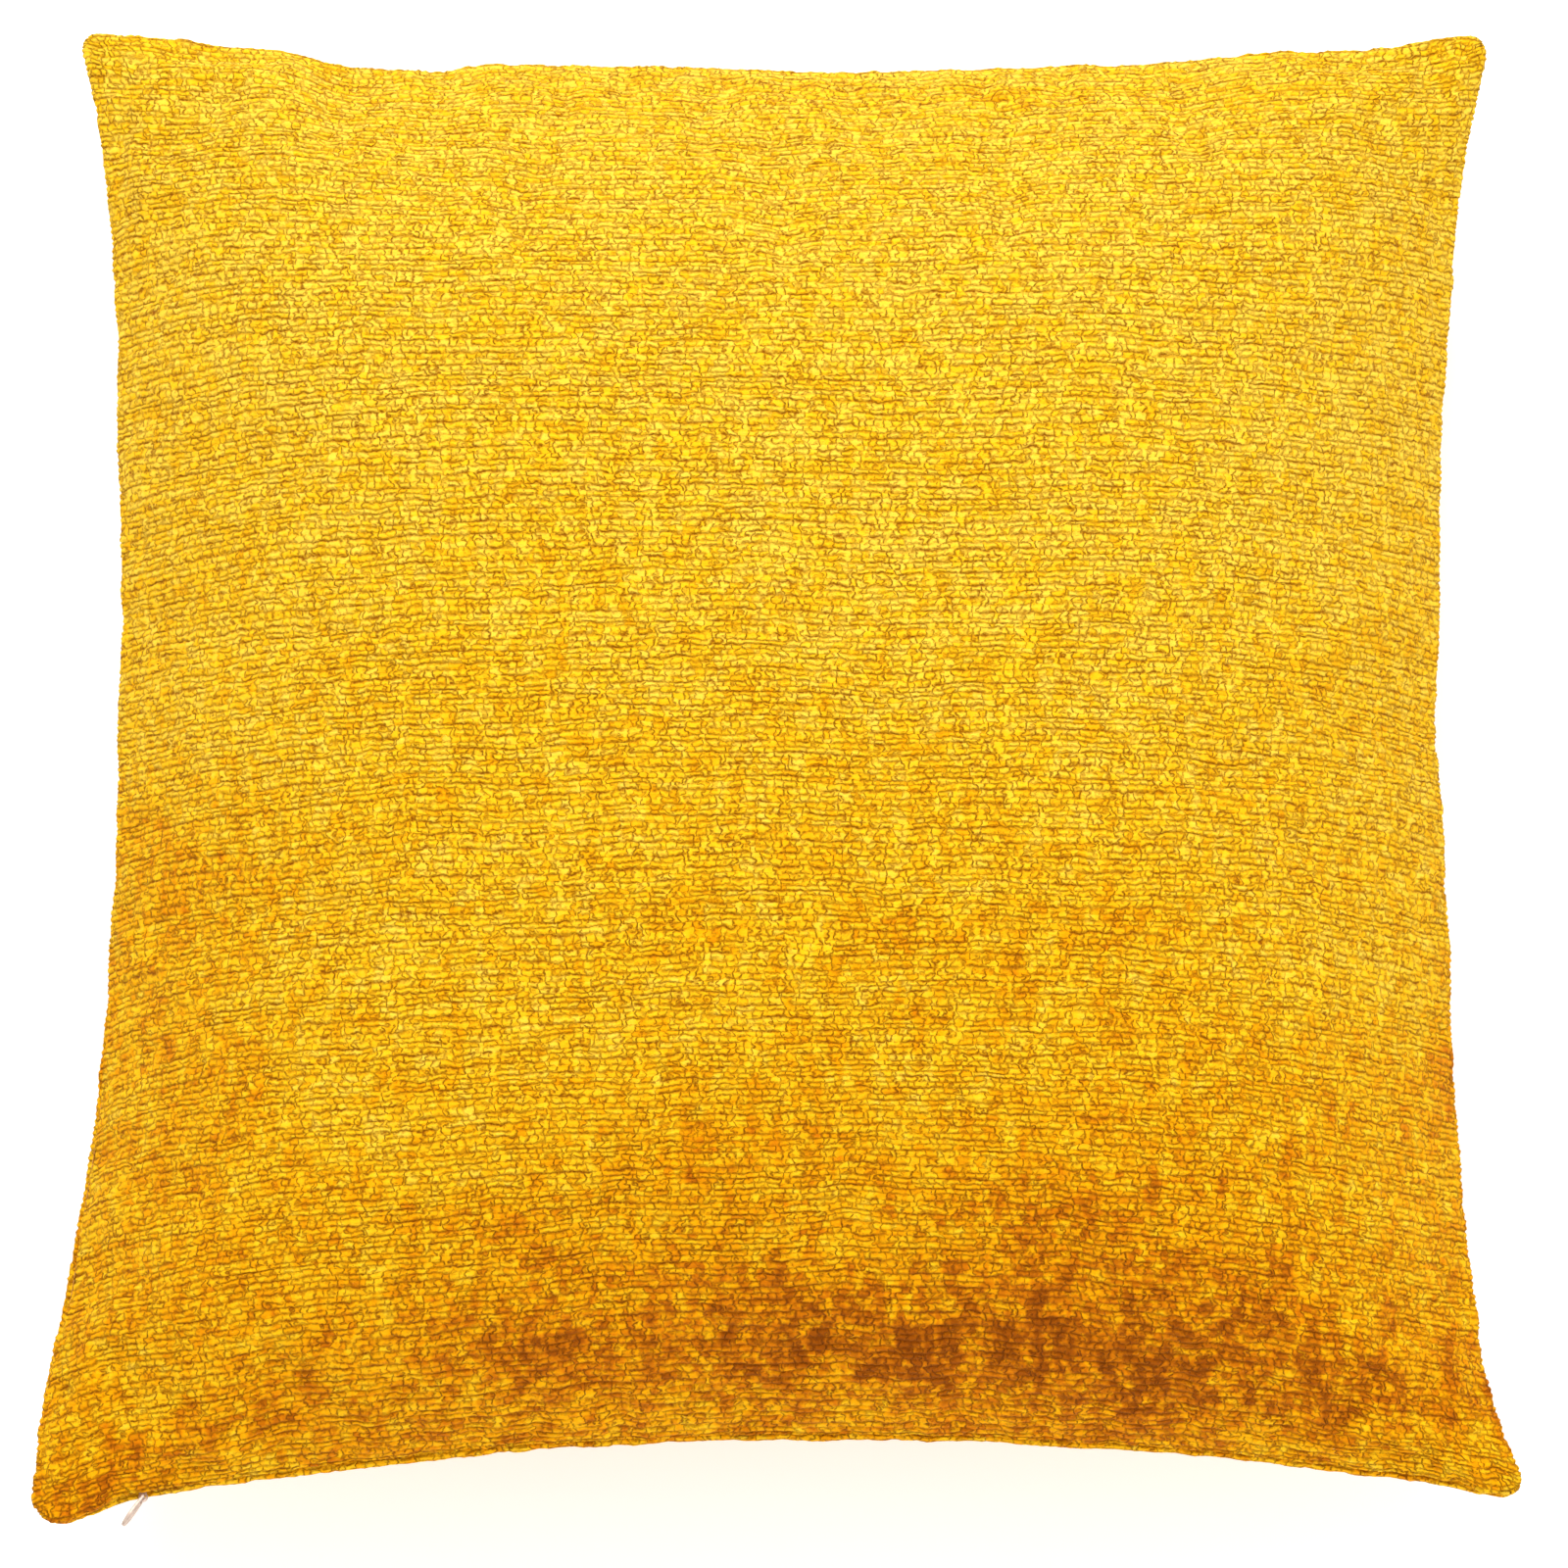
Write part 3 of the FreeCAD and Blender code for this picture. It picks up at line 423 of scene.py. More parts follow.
def cover_panel(name, grid, side, per_row, columns, seed, patches):
    """A chenille panel: tufted outer face, rounded lip at the seam, seam allowance and plain inner face."""
    lines = ROWS * per_row + 1
    row = np.arange(lines)[:, None] / per_row + np.zeros((1, columns + 1))
    s = np.zeros((lines, 1)) + np.linspace(-HALF_CLOTH, HALF_CLOTH, columns + 1)[None]
    widths = np.random.default_rng(seed).uniform(0.8, 1.2, ROWS)
    marks = np.concatenate([[0], np.cumsum(widths)])
    marks = marks / marks[-1] * 2 * HALF_CLOTH - HALF_CLOTH
    t = np.interp(row, np.arange(ROWS + 1), marks)
    edge_free = 1
    for place in (t, s):
        edge_free = edge_free * np.clip((HALF_CLOTH - np.abs(place)) / EDGE_STILL, 0, 1)
    sway = 0.7 * noise(s, t, 24 * MM, seed + 3) + 0.55 * noise(s, t * 1.6, 7 * MM, seed + 4)
    t = t + edge_free * sway * MM
    s = s + edge_free * 0.45 * MM * noise(s * 1.3, t * 4, 6 * MM, seed + 5)
    u, v = s / HALF_CLOTH, t / HALF_CLOTH
    smooth = sample(grid, u, v)

    # The loop round the panel's edge, and how far its cloth moves out to the lip
    index = np.arange(lines * (columns + 1)).reshape(lines, columns + 1)
    ring = border(index)
    ring_u, ring_v = u.ravel()[ring], v.ravel()[ring]
    loop, out, centre, end, zipped = outline_loop(ring_u, ring_v, side)
    flat = smooth.reshape(-1, 3)
    deeper = sample(grid, ring_u * INNER_SHARE, ring_v * INNER_SHARE)
    drop = side * (deeper[:, 2] - SEAM_HEIGHT)
    away = np.einsum("ij,ij->i", loop - deeper[:, :2], out)
    slope = np.clip(np.arctan2(drop, away), math.radians(18), math.radians(68))
    reach_on = 12
    kernel = np.hanning(2 * reach_on + 1)
    wrapped = np.concatenate([slope[-reach_on:], slope, slope[:reach_on]])
    slope = np.convolve(wrapped, kernel / kernel.sum(), "valid")
    lumps = 0.45 * noise(ring_u, ring_v, 0.022, seed + 9) + 0.4 * noise(ring_u, ring_v, 0.07, seed + 10)
    by_slider = ((loop[:, 0] - SLIDER_PLACE) / SLIDER_HALF) ** 2
    lumps = lumps * (1 - np.exp(-by_slider * zipped) * zipped) * MM
    if side > 0:
        set_in = np.exp(-(((loop[:, 1] - LIP_INSET_PLACE) / LIP_INSET_HALF) ** 4))
        lumps = lumps - (ring_u < -1 + 1e-9) * LIP_INSET * set_in
    centre[:, 0] += lumps

    def lip(angle):
        outward = centre[:, 0] + LIP_RADIUS * np.sin(angle)
        height = centre[:, 1] + side * LIP_RADIUS * np.cos(angle)
        return np.column_stack([loop + out * outward[:, None], SEAM_HEIGHT + height])

    moved = lip(slope) - flat[ring]
    gaps = {"low": t + HALF_CLOTH, "high": HALF_CLOTH - t, "left": s + HALF_CLOTH, "right": HALF_CLOTH - s}
    near = {edge: np.clip(1 - gap / EDGE_FADE, 0, 1) ** 2 for edge, gap in gaps.items()}
    shift = np.zeros((lines * (columns + 1), 3))
    shift[ring] = moved
    smooth = smooth + spread(shift.reshape(lines, columns + 1, 3), near)
    smooth[..., 2] += side * RISE * (1 - np.maximum.reduce(list(near.values())))
    flat = smooth.reshape(-1, 3)

    # Rows that carry the cloth round its lip, then inside
    rings = [lip(slope + (end - slope) * step / LIP_STEPS) for step in range(1, LIP_STEPS + 1)]
    angle = np.arctan2(-loop[:, 0], loop[:, 1] + BOTTOM_MID + BOTTOM_RADIUS)
    inner_tail = []
    for outward, height, across, ahead in (
        (-5.5, 0.5, 0.8, -2.0),
        (-8.0, 0.5, 4.6, -2.15),
        (-9.5, 0.9, 5.0, -9.9),
    ):
        level = np.full(len(loop), SEAM_HEIGHT + side * height * MM)
        plain = np.column_stack([loop + out * outward * MM, level])
        by_zip = zip_place(angle, side * across * MM, ahead * MM)
        inner_tail.append(plain * (1 - zipped[:, None]) + by_zip * zipped[:, None])
    count = len(flat)
    bands = rings + inner_tail
    places = np.concatenate([flat] + bands)
    size = len(ring)
    band_index = [ring] + [count + k * size + np.arange(size) for k in range(len(bands))]
    faces = [grid_faces(index, side < 0)]
    for outer, inner in zip(band_index[:-1], band_index[1:]):
        quads = np.stack([outer, inner, np.roll(inner, -1), np.roll(outer, -1)], -1)
        faces.append(quads if side > 0 else quads[:, ::-1])

    # The plain inner face, on a coarser grid, joined to the last band
    points = INNER_STEPS + 1
    inner_index = len(places) + np.arange(points**2).reshape(points, points)
    inner_ring = border(inner_index)
    faces.append(grid_faces(inner_index, side > 0))
    sides = enumerate((columns, lines - 1) * 2)
    ring_part = np.concatenate([edge + np.arange(parts) / parts for edge, parts in sides])
    match = np.floor(ring_part * INNER_STEPS + 0.5).astype(int) % len(inner_ring)
    last, following = band_index[-1], np.roll(band_index[-1], -1)
    near_match, next_match = inner_ring[match], inner_ring[np.roll(match, -1)]
    fans = np.stack([last, near_match, following], -1)
    links = np.stack([following, near_match, next_match], -1)[near_match != next_match]
    faces += [fans, links] if side > 0 else [fans[:, ::-1], links[:, ::-1]]
    places = np.concatenate([places, inner_face(grid, side)])

    # The pile stands out along the normals
    panel = new_mesh(name, places, faces)
    normals = np.zeros(len(places) * 3, np.float32)
    panel.data.vertices.foreach_get("normal", normals)
    normals = normals.reshape(-1, 3)
    row_all = [row.ravel()]
    s_all = [s.ravel()]
    share_all = [np.ones(count)]
    step_out = (end.mean() - slope) * LIP_RADIUS / LIP_STEPS
    for k in range(1, LIP_STEPS + 1):
        beyond = k * step_out
        extra_row = np.where(np.abs(ring_v) >= 1 - 1e-9, np.sign(ring_v), 0) * beyond / ROW_PITCH
        extra_s = np.where(np.abs(ring_u) >= 1 - 1e-9, np.sign(ring_u), 0) * beyond
        row_all.append(row.ravel()[ring] + extra_row)
        s_all.append(s.ravel()[ring] + extra_s)
        fade_in = 1 - smooth_step(np.full(size, k / LIP_STEPS), 0.45, 1.0) * (0.6 + 0.35 * zipped)
        share_all.append(fade_in * (1 - 0.35 * zipped))
    row_all, s_all, share_all = np.concatenate(row_all), np.concatenate(s_all), np.concatenate(share_all)
    height = pile_height(row_all, s_all, seed + 20)
    covered = len(row_all)
    ragged = np.where(np.arange(covered) < count, FACE_RAGGED, LIP_RAGGED)
    ragged[ring] = LIP_RAGGED
    fuzz = np.random.default_rng(seed + 30).uniform(-1, 1, covered) * ragged
    stand = (height - 0.6) * PILE * share_all + fuzz * share_all
    places[:covered] += normals[:covered] * stand[:, None]
    places[:, 2] = floor_at(places[:, 2])
    panel.data.vertices.foreach_set("co", places.astype(np.float32).ravel())
    look = np.zeros((len(places), 3), np.float32)
    look[:covered, 0] = s_all
    look[:covered, 1] = row_all
    # The third value is how dark the pile is painted: pile brushed down and painted shade
    look[:covered, 2] = nap_and_shade(places[:covered, 0], places[:covered, 1], seed + 40, patches)
    look[covered:, 0] = places[covered:, 0]
    look[covered:, 1] = places[covered:, 1] / ROW_PITCH
    look[covered:, 2] = 0.5
    layer = panel.data.attributes.new("weave", "FLOAT_VECTOR", "POINT")
    layer.data.foreach_set("vector", look.ravel())
    panel.data.update()
    return panel


def floor_at(z):
    """Flattens what would go below the surface that the pillow lies on."""
    soft = 2.0 * MM
    return np.where(z < soft, soft * np.exp(np.minimum(z / soft - 1, 0)), z)


# ---- threads, coils and other sweeps


def tube(path, normals, radius, sides):
    """A round tube with closed ends along a line of places. Normals steady its section."""
    path = np.asarray(path, float)
    along = np.gradient(path, axis=0)
    along /= np.linalg.norm(along, axis=1, keepdims=True)
    side_way = np.cross(along, normals)
    side_way /= np.linalg.norm(side_way, axis=1, keepdims=True)
    up_way = np.cross(side_way, along)
    turn = np.arange(sides) * 2 * math.pi / sides
    radius = np.broadcast_to(radius, (len(path),))
    ring = side_way[:, None] * np.cos(turn)[None, :, None] + up_way[:, None] * np.sin(turn)[None, :, None]
    places = (path[:, None] + ring * radius[:, None, None]).reshape(-1, 3)
    index = np.arange(len(path) * sides).reshape(len(path), sides)
    index = np.concatenate([index, index[:, :1]], 1)
    faces = [grid_faces(index, True)]
    start, finish = len(places), len(places) + 1
    places = np.concatenate([places, path[:1], path[-1:]])
    first, last = index[0], index[-1]
    faces.append(np.stack([first[:-1], first[1:], np.full(sides, start)], -1))
    faces.append(np.stack([last[1:], last[:-1], np.full(sides, finish)], -1))
    return places, faces


def joined(name, pieces):
    """One mesh object from several (places, faces) pairs."""
    places, quads, count = [], [], 0
    for piece_places, piece_faces in pieces:
        places.append(piece_places)
        quads += [f + count for f in piece_faces]
        count += len(piece_places)
    return new_mesh(name, np.concatenate(places), quads)


def stitches(name, place, start, end, length, size, up, dip=0.5, gap=0.25):
    """A line of lockstitches: short threads that rise out of the cloth and dive back into it.

    place gives where the seam runs at arrays of its parameter, from start to end.
    """
    many = place(np.linspace(start, end, 2001))
    run = np.concatenate([[0], np.cumsum(np.linalg.norm(np.diff(many, axis=0), axis=1))])
    count = max(1, int(run[-1] / length))
    parameter = np.linspace(start, end, 2001)
    pieces = []
    for k in range(count):
        local = np.linspace(k + gap / 2, k + 1 - gap / 2, 7) * run[-1] / count
        path = place(np.interp(local, run, parameter))
        bow = np.sin(np.linspace(0, math.pi, 7)) * size * dip
        path = path + np.asarray(up)[None] * (bow - size * dip * 0.5)[:, None]
        ways = np.tile(np.asarray(up, float), (7, 1))
        pieces.append(tube(path, ways, size / 2 * np.array([0.75, 1, 1, 1, 1, 1, 0.75]), 6))
    return joined(name, pieces)


def coil(name, side):
    """One side of the zip: a nylon helix, parted from the other behind the slider's nose."""
    pitch, loop_radius, wire_radius, depth = 1.2 * MM, 0.62 * MM, 0.21 * MM, 3.75 * MM
    start, closed, end = -math.radians(8.8), math.radians(8.86), math.radians(9.17)
    turns = int((end - start) * ZIP_RADIUS / pitch)
    per_turn = 12
    phase = np.arange(turns * per_turn + 1) / per_turn
    angle = start + (end - start) * phase / turns
    centre = np.interp(angle, [closed, closed + 0.003], [1.13 * MM, 1.5 * MM])
    turn = phase * 2 * math.pi + (0 if side > 0 else math.pi)
    across = side * centre + loop_radius * np.cos(turn)
    path = zip_place(angle, across, loop_radius * np.sin(turn) - depth)
    middle = zip_place(angle, side * centre, -depth)
    return joined(name, [tube(path, path - middle, wire_radius, 6)])


def sweep(name, section, start, end, steps):
    """A closed section, as (across, out) pairs, swept along the zip."""
    section = np.asarray(section) * MM
    angles = np.linspace(start, end, steps + 1)
    places = zip_place(angles[:, None], section[None, :, 0], section[None, :, 1]).reshape(-1, 3)
    count = len(section)
    index = np.arange((steps + 1) * count).reshape(steps + 1, count)
    index = np.concatenate([index, index[:, :1]], 1)
    made = new_mesh(name, places, [grid_faces(index)])
    work = bmesh.new()
    work.from_mesh(made.data)
    work.verts.ensure_lookup_table()
    for row in (0, steps):
        work.faces.new([work.verts[i] for i in index[row, :-1]])
    bmesh.ops.recalc_face_normals(work, faces=work.faces)
    work.to_mesh(made.data)
    work.free()
    return made


def tape(name, side):
    """A woven tape, with a soft fold where it turns in beside the slider."""
    outer = [(0.95, -2.4), (2.6, -2.38), (3.6, -2.42), (3.9, -2.55), (4.0, -2.9), (3.98, -6.0), (4.0, -9.4)]
    inner = [(3.6, -9.4), (3.58, -6.0), (3.6, -3.1), (3.45, -2.85), (2.6, -2.8), (0.95, -2.8)]
    section = [(side * a, o) for a, o in outer + inner]
    limit = math.radians(9.3)
    return sweep(name, section, -limit, limit, 260)


# ---- slider and pull


def slider_matrix():
    """The slider's frame: X along the zip to its open end, Y up its face, Z out of its mouth."""
    middle = Vector(zip_place(SLIDER_ANGLE, 0.0, 0.0))
    turn = Matrix.Rotation(SLIDER_ANGLE, 4, "Z")
    lean = Matrix.Rotation(math.pi / 2 - ZIP_TURN, 4, "X")
    return Matrix.Translation(middle) @ turn @ lean


def plate(work, outline, low, high, bevel):
    """A flat plate in a bmesh: an outline raised from one height to another, with its rims rounded."""
    verts = [work.verts.new((x, y, low)) for x, y in outline]
    face = work.faces.new(verts)
    raised = bmesh.ops.extrude_face_region(work, geom=[face])
    top = [g for g in raised["geom"] if isinstance(g, bmesh.types.BMVert)]
    bmesh.ops.translate(work, verts=top, vec=(0, 0, high - low))
    rims = [edge for edge in work.edges if abs(edge.verts[0].co.z - edge.verts[1].co.z) < 1e-9]
    bmesh.ops.bevel(work, geom=rims, offset=bevel, segments=3, profile=0.6, affect="EDGES")


def finish_bmesh(name, work, matrix):
    bmesh.ops.recalc_face_normals(work, faces=work.faces)
    mesh = bpy.data.meshes.new(name)
    work.transform(matrix)
    work.to_mesh(mesh)
    work.free()
    for polygon in mesh.polygons:
        polygon.use_smooth = True
    mesh.set_sharp_from_angle(angle=math.radians(40))
    return shown(name, mesh)


def merged(name, works, matrix):
    """One object from several bmeshes."""
    whole = bmesh.new()
    for work in works:
        piece = bpy.data.meshes.new("piece")
        work.to_mesh(piece)
        work.free()
        whole.from_mesh(piece)
        bpy.data.meshes.remove(piece)
    return finish_bmesh(name, whole, matrix)


def ring_plate(outer, inner, half, centre, steps=28):
    """A flat ring standing along the zip: outer and inner outlines joined, rims rounded. Returns a bmesh."""
    work = bmesh.new()
    loops = []
    cut = 0.15 * MM
    for radius, level in (
        (outer - cut, -half),
        (outer, -half + cut),
        (outer, half - cut),
        (outer - cut, half),
        (inner + cut, half),
        (inner, half - cut),
        (inner, -half + cut),
        (inner + cut, -half),
    ):
        loop = []
        for k in range(steps):
            turn = 2 * math.pi * k / steps
            x, z = centre[0] + radius * math.cos(turn), centre[1] + radius * math.sin(turn)
            loop.append(work.verts.new((x, level, z)))
        loops.append(loop)
    for a, b in zip(loops, loops[1:] + loops[:1]):
        for k in range(steps):
            work.faces.new((a[k], a[(k + 1) % steps], b[(k + 1) % steps], b[k]))
    return work


def zip_slider():
    """Inner plate with rounded rims, two flanks, the neck between the lips, and the bail."""
    works = []
    base = bmesh.new()
    nose = [(-4.8, 1.8), (-4.2, 2.75), (-3.5, 3.2), (-2.6, 3.3)]
    tail = [(-1.0, 3.3), (1.8, 3.2), (4.2, 3.1), (4.6, 2.7)]
    half = nose + tail
    outline = [(x * MM, y * MM) for x, y in half] + [(x * MM, -y * MM) for x, y in reversed(half)]
    plate(base, outline, -5.8 * MM, -4.9 * MM, 0.2 * MM)
    works.append(base)
    for side in (1, -1):
        flank = bmesh.new()
        outline = [(-3.5, 2.6), (4.5, 2.6), (4.5, 3.08), (-1.0, 3.28), (-3.4, 3.22)]
        outline = [(x * MM, side * y * MM) for x, y in outline]
        plate(flank, outline, -4.95 * MM, -3.1 * MM, 0.12 * MM)
        works.append(flank)
    neck = bmesh.new()
    outline = [(-3.9, -5.3), (-0.7, -5.3), (-0.75, -2.0), (-1.1, 1.2), (-3.5, 1.2), (-3.85, -2.0)]
    plate(neck, [(x * MM, z * MM) for x, z in outline], -0.25 * MM, 0.25 * MM, 0.08 * MM)
    neck.transform(Matrix.Rotation(math.pi / 2, 4, "X"))
    works.append(neck)
    works.append(ring_plate(1.6 * MM, 0.9 * MM, 0.45 * MM, (-2.3 * MM, 2.3 * MM)))
    return merged("zip_slider", works, slider_matrix())


def zip_pull():
    """A flat drop-shaped tab, forked round the bail, with a crossbar through the bail's eye."""
    half = []
    for x in (-0.45, 0.6, 2.0, 3.4, 4.8, 6.2, 7.4, 8.4, 9.3, 10.1, 10.8, 11.3, 11.55):
        if x < 6.6:
            y = 1.55 + 0.6 * smooth_step(np.array(x), -0.5, 6.6)
        else:
            y = 2.15 * math.sqrt(max(0.0, 1 - ((x - 6.6) / 5.0) ** 2))
        half.append((x, float(y)))
    fork = [(2.2, -0.55), (2.35, 0.0), (2.2, 0.55), (1.9, 0.78), (-0.45, 0.8)]
    outline = half + [(11.6, 0.0)] + [(x, -y) for x, y in reversed(half)]
    outline += [(-0.45, -0.8), (1.9, -0.78)] + fork
    tab = bmesh.new()
    plate(tab, [(x * MM, y * MM) for x, y in outline], -0.5 * MM, 0.5 * MM, 0.22 * MM)
    line = np.array([[0, y, 0] for y in np.linspace(-1.5, 1.5, 7) * MM])
    places, faces = tube(line, np.tile([0.0, 0.0, 1.0], (7, 1)), 0.55 * MM, 16)
    bar = bmesh.new()
    verts = [bar.verts.new(p) for p in places]
    for group in faces:
        for face in group:
            bar.faces.new([verts[i] for i in face])
    hinge = slider_matrix() @ Matrix.Translation((-2.3 * MM, 0, 2.3 * MM))
    lean = Matrix.Rotation(math.radians(48), 4, "Y") @ Matrix.Rotation(math.pi, 4, "Z")
    return merged("zip_pull", [tab, bar], hinge @ lean)


# ---- insert


def insert_panel(name, side):
    """One panel of the insert: a thin closed sheet of cotton, crowned like the cover."""
    crown = (FRONT_CROWN if side > 0 else BACK_CROWN) - 5.0 * MM
    n = 80
    u, v = square(n)
    layers = []
    for extra in (0.0, 0.7 * MM):
        inset, zip_inset = 7.0 * MM + extra, 16.6 * MM + extra
        places = crowned(u, v, side, crown - extra, 1.2 * MM - extra * 0.5, inset, zip_inset)
        wave = noise(places[..., 0], places[..., 1], 70 * MM, 91 + side) * 0.8 * MM
        places[..., 2] += side * wave * (1 - np.maximum(np.abs(u), np.abs(v)) ** 6)
        layers.append(places)
    count = (n + 1) ** 2
    outer = np.arange(count).reshape(n + 1, n + 1)
    inner = outer + count
    ring = border(outer)
    rim = np.stack([ring, ring + count, np.roll(ring, -1) + count, np.roll(ring, -1)], -1)
    faces = [grid_faces(outer, side < 0), grid_faces(inner, side > 0), rim if side > 0 else rim[:, ::-1]]
    places = np.concatenate([layers[0].reshape(-1, 3), layers[1].reshape(-1, 3)])
    places[:, 2] = np.maximum(places[:, 2], (3.2 if side < 0 else 0) * MM)
    places[count:, 2] = np.maximum(places[count:, 2], (3.8 if side < 0 else 0) * MM)
    return new_mesh(name, places, faces)


def filling():
    """The stuffing: one closed crowned form, lumpy all over."""
    n = 80
    u, v = square(n)
    grids = []
    for side, crown in ((1, FRONT_CROWN), (-1, BACK_CROWN)):
        places = crowned(u, v, side, crown - 8.2 * MM, 0.0, 9.0 * MM, 18.6 * MM)
        lumps = noise(places[..., 0], places[..., 1], 30 * MM, 61 + side) * MM
        places[..., 2] += side * lumps * (1 - np.maximum(np.abs(u), np.abs(v)) ** 4)
        grids.append(places)
    inner, front, back = sewn_grids(n)
    places = np.concatenate([grids[0].reshape(-1, 3), grids[1][inner]])
    places[:, 2] = np.maximum(places[:, 2], 4.6 * MM)
    return new_mesh("filling", places, [grid_faces(front), grid_faces(back, True)])


def insert_line(part):
    """The insert's seam line round its outline, its parameter going once round from 0 to 4."""
    part = np.asarray(part) % 4
    edge = np.floor(part).astype(int)
    along = (part - edge) * 2 - 1
    one = np.ones_like(along)
    u = np.select([edge == 0, edge == 1, edge == 2], [along, one, -along], -one)
    v = np.select([edge == 0, edge == 1, edge == 2], [-one, along, one], -along)
    x, y = plan(u, v, 8.3 * MM, 17.9 * MM)
    return np.stack([x, y, np.full_like(x, SEAM_HEIGHT)], -1)


# ---- materials


class Nodes:
    """A material's node tree, built up in short steps."""

    def __init__(self, name):
        self.material = bpy.data.materials.new(name)
        self.material.use_nodes = True
        self.tree = self.material.node_tree
        self.shader = self.tree.nodes["Principled BSDF"]

    def add(self, kind, inputs=None, **settings):
        node = self.tree.nodes.new(kind)
        for key, value in settings.items():
            setattr(node, key, value)
        for key, value in (inputs or {}).items():
            self.feed(node.inputs[key], value)
        return node

    def feed(self, socket, value):
        """Links another node's output to a socket, or sets its constant value."""
        if isinstance(value, bpy.types.NodeSocket):
            self.tree.links.new(value, socket)
        else:
            socket.default_value = value

    def maths(self, operation, a, b=0.0, c=0.0):
        return self.add("ShaderNodeMath", {0: a, 1: b, 2: c}, operation=operation).outputs[0]

    def swing(self, value, share, onto):
        """Adds a noise's swing about its middle, times a share, to a value."""
        return self.maths("MULTIPLY_ADD", self.maths("SUBTRACT", value, 0.5), share, onto)

    def noise(self, where, scale, detail=2.0, rough=0.5, distortion=0.0):
        shape = {"Detail": detail, "Roughness": rough, "Distortion": distortion}
        node = self.add("ShaderNodeTexNoise", {"Vector": where, "Scale": scale, **shape})
        return node.outputs["Fac"]

    def blend(self, share, a, b, kind="MIX"):
        node = self.add("ShaderNodeMix", data_type="RGBA", blend_type=kind)
        for socket, value in ((node.inputs[0], share), (node.inputs[6], a), (node.inputs[7], b)):
            self.feed(socket, value)
        return node.outputs[2]

    def span(self, value, low, high, to_low=0.0, to_high=1.0):
        inputs = {0: value, 1: low, 2: high, 3: to_low, 4: to_high}
        return self.add("ShaderNodeMapRange", inputs, clamp=True).outputs[0]

    def set(self, **values):
        for key, value in values.items():
            self.feed(self.shader.inputs[key.replace("_", " ")], value)

    def bump(self, height, strength, distance):
        node = self.add("ShaderNodeBump", {"Height": height, "Strength": strength, "Distance": distance})
        self.tree.links.new(node.outputs[0], self.shader.inputs["Normal"])

    def place(self, stretch=(1, 1, 1)):
        where = self.add("ShaderNodeTexCoord").outputs["Object"]
        return self.add("ShaderNodeMapping", {"Vector": where, "Scale": stretch}).outputs[0]


def colour(red, green, blue):
    """A colour from its sRGB numbers, 0 to 255."""
    shares = (red / 255, green / 255, blue / 255)
    linear = [c / 12.92 if c <= 0.04045 else ((c + 0.055) / 1.055) ** 2.4 for c in shares]
    return (*linear, 1.0)


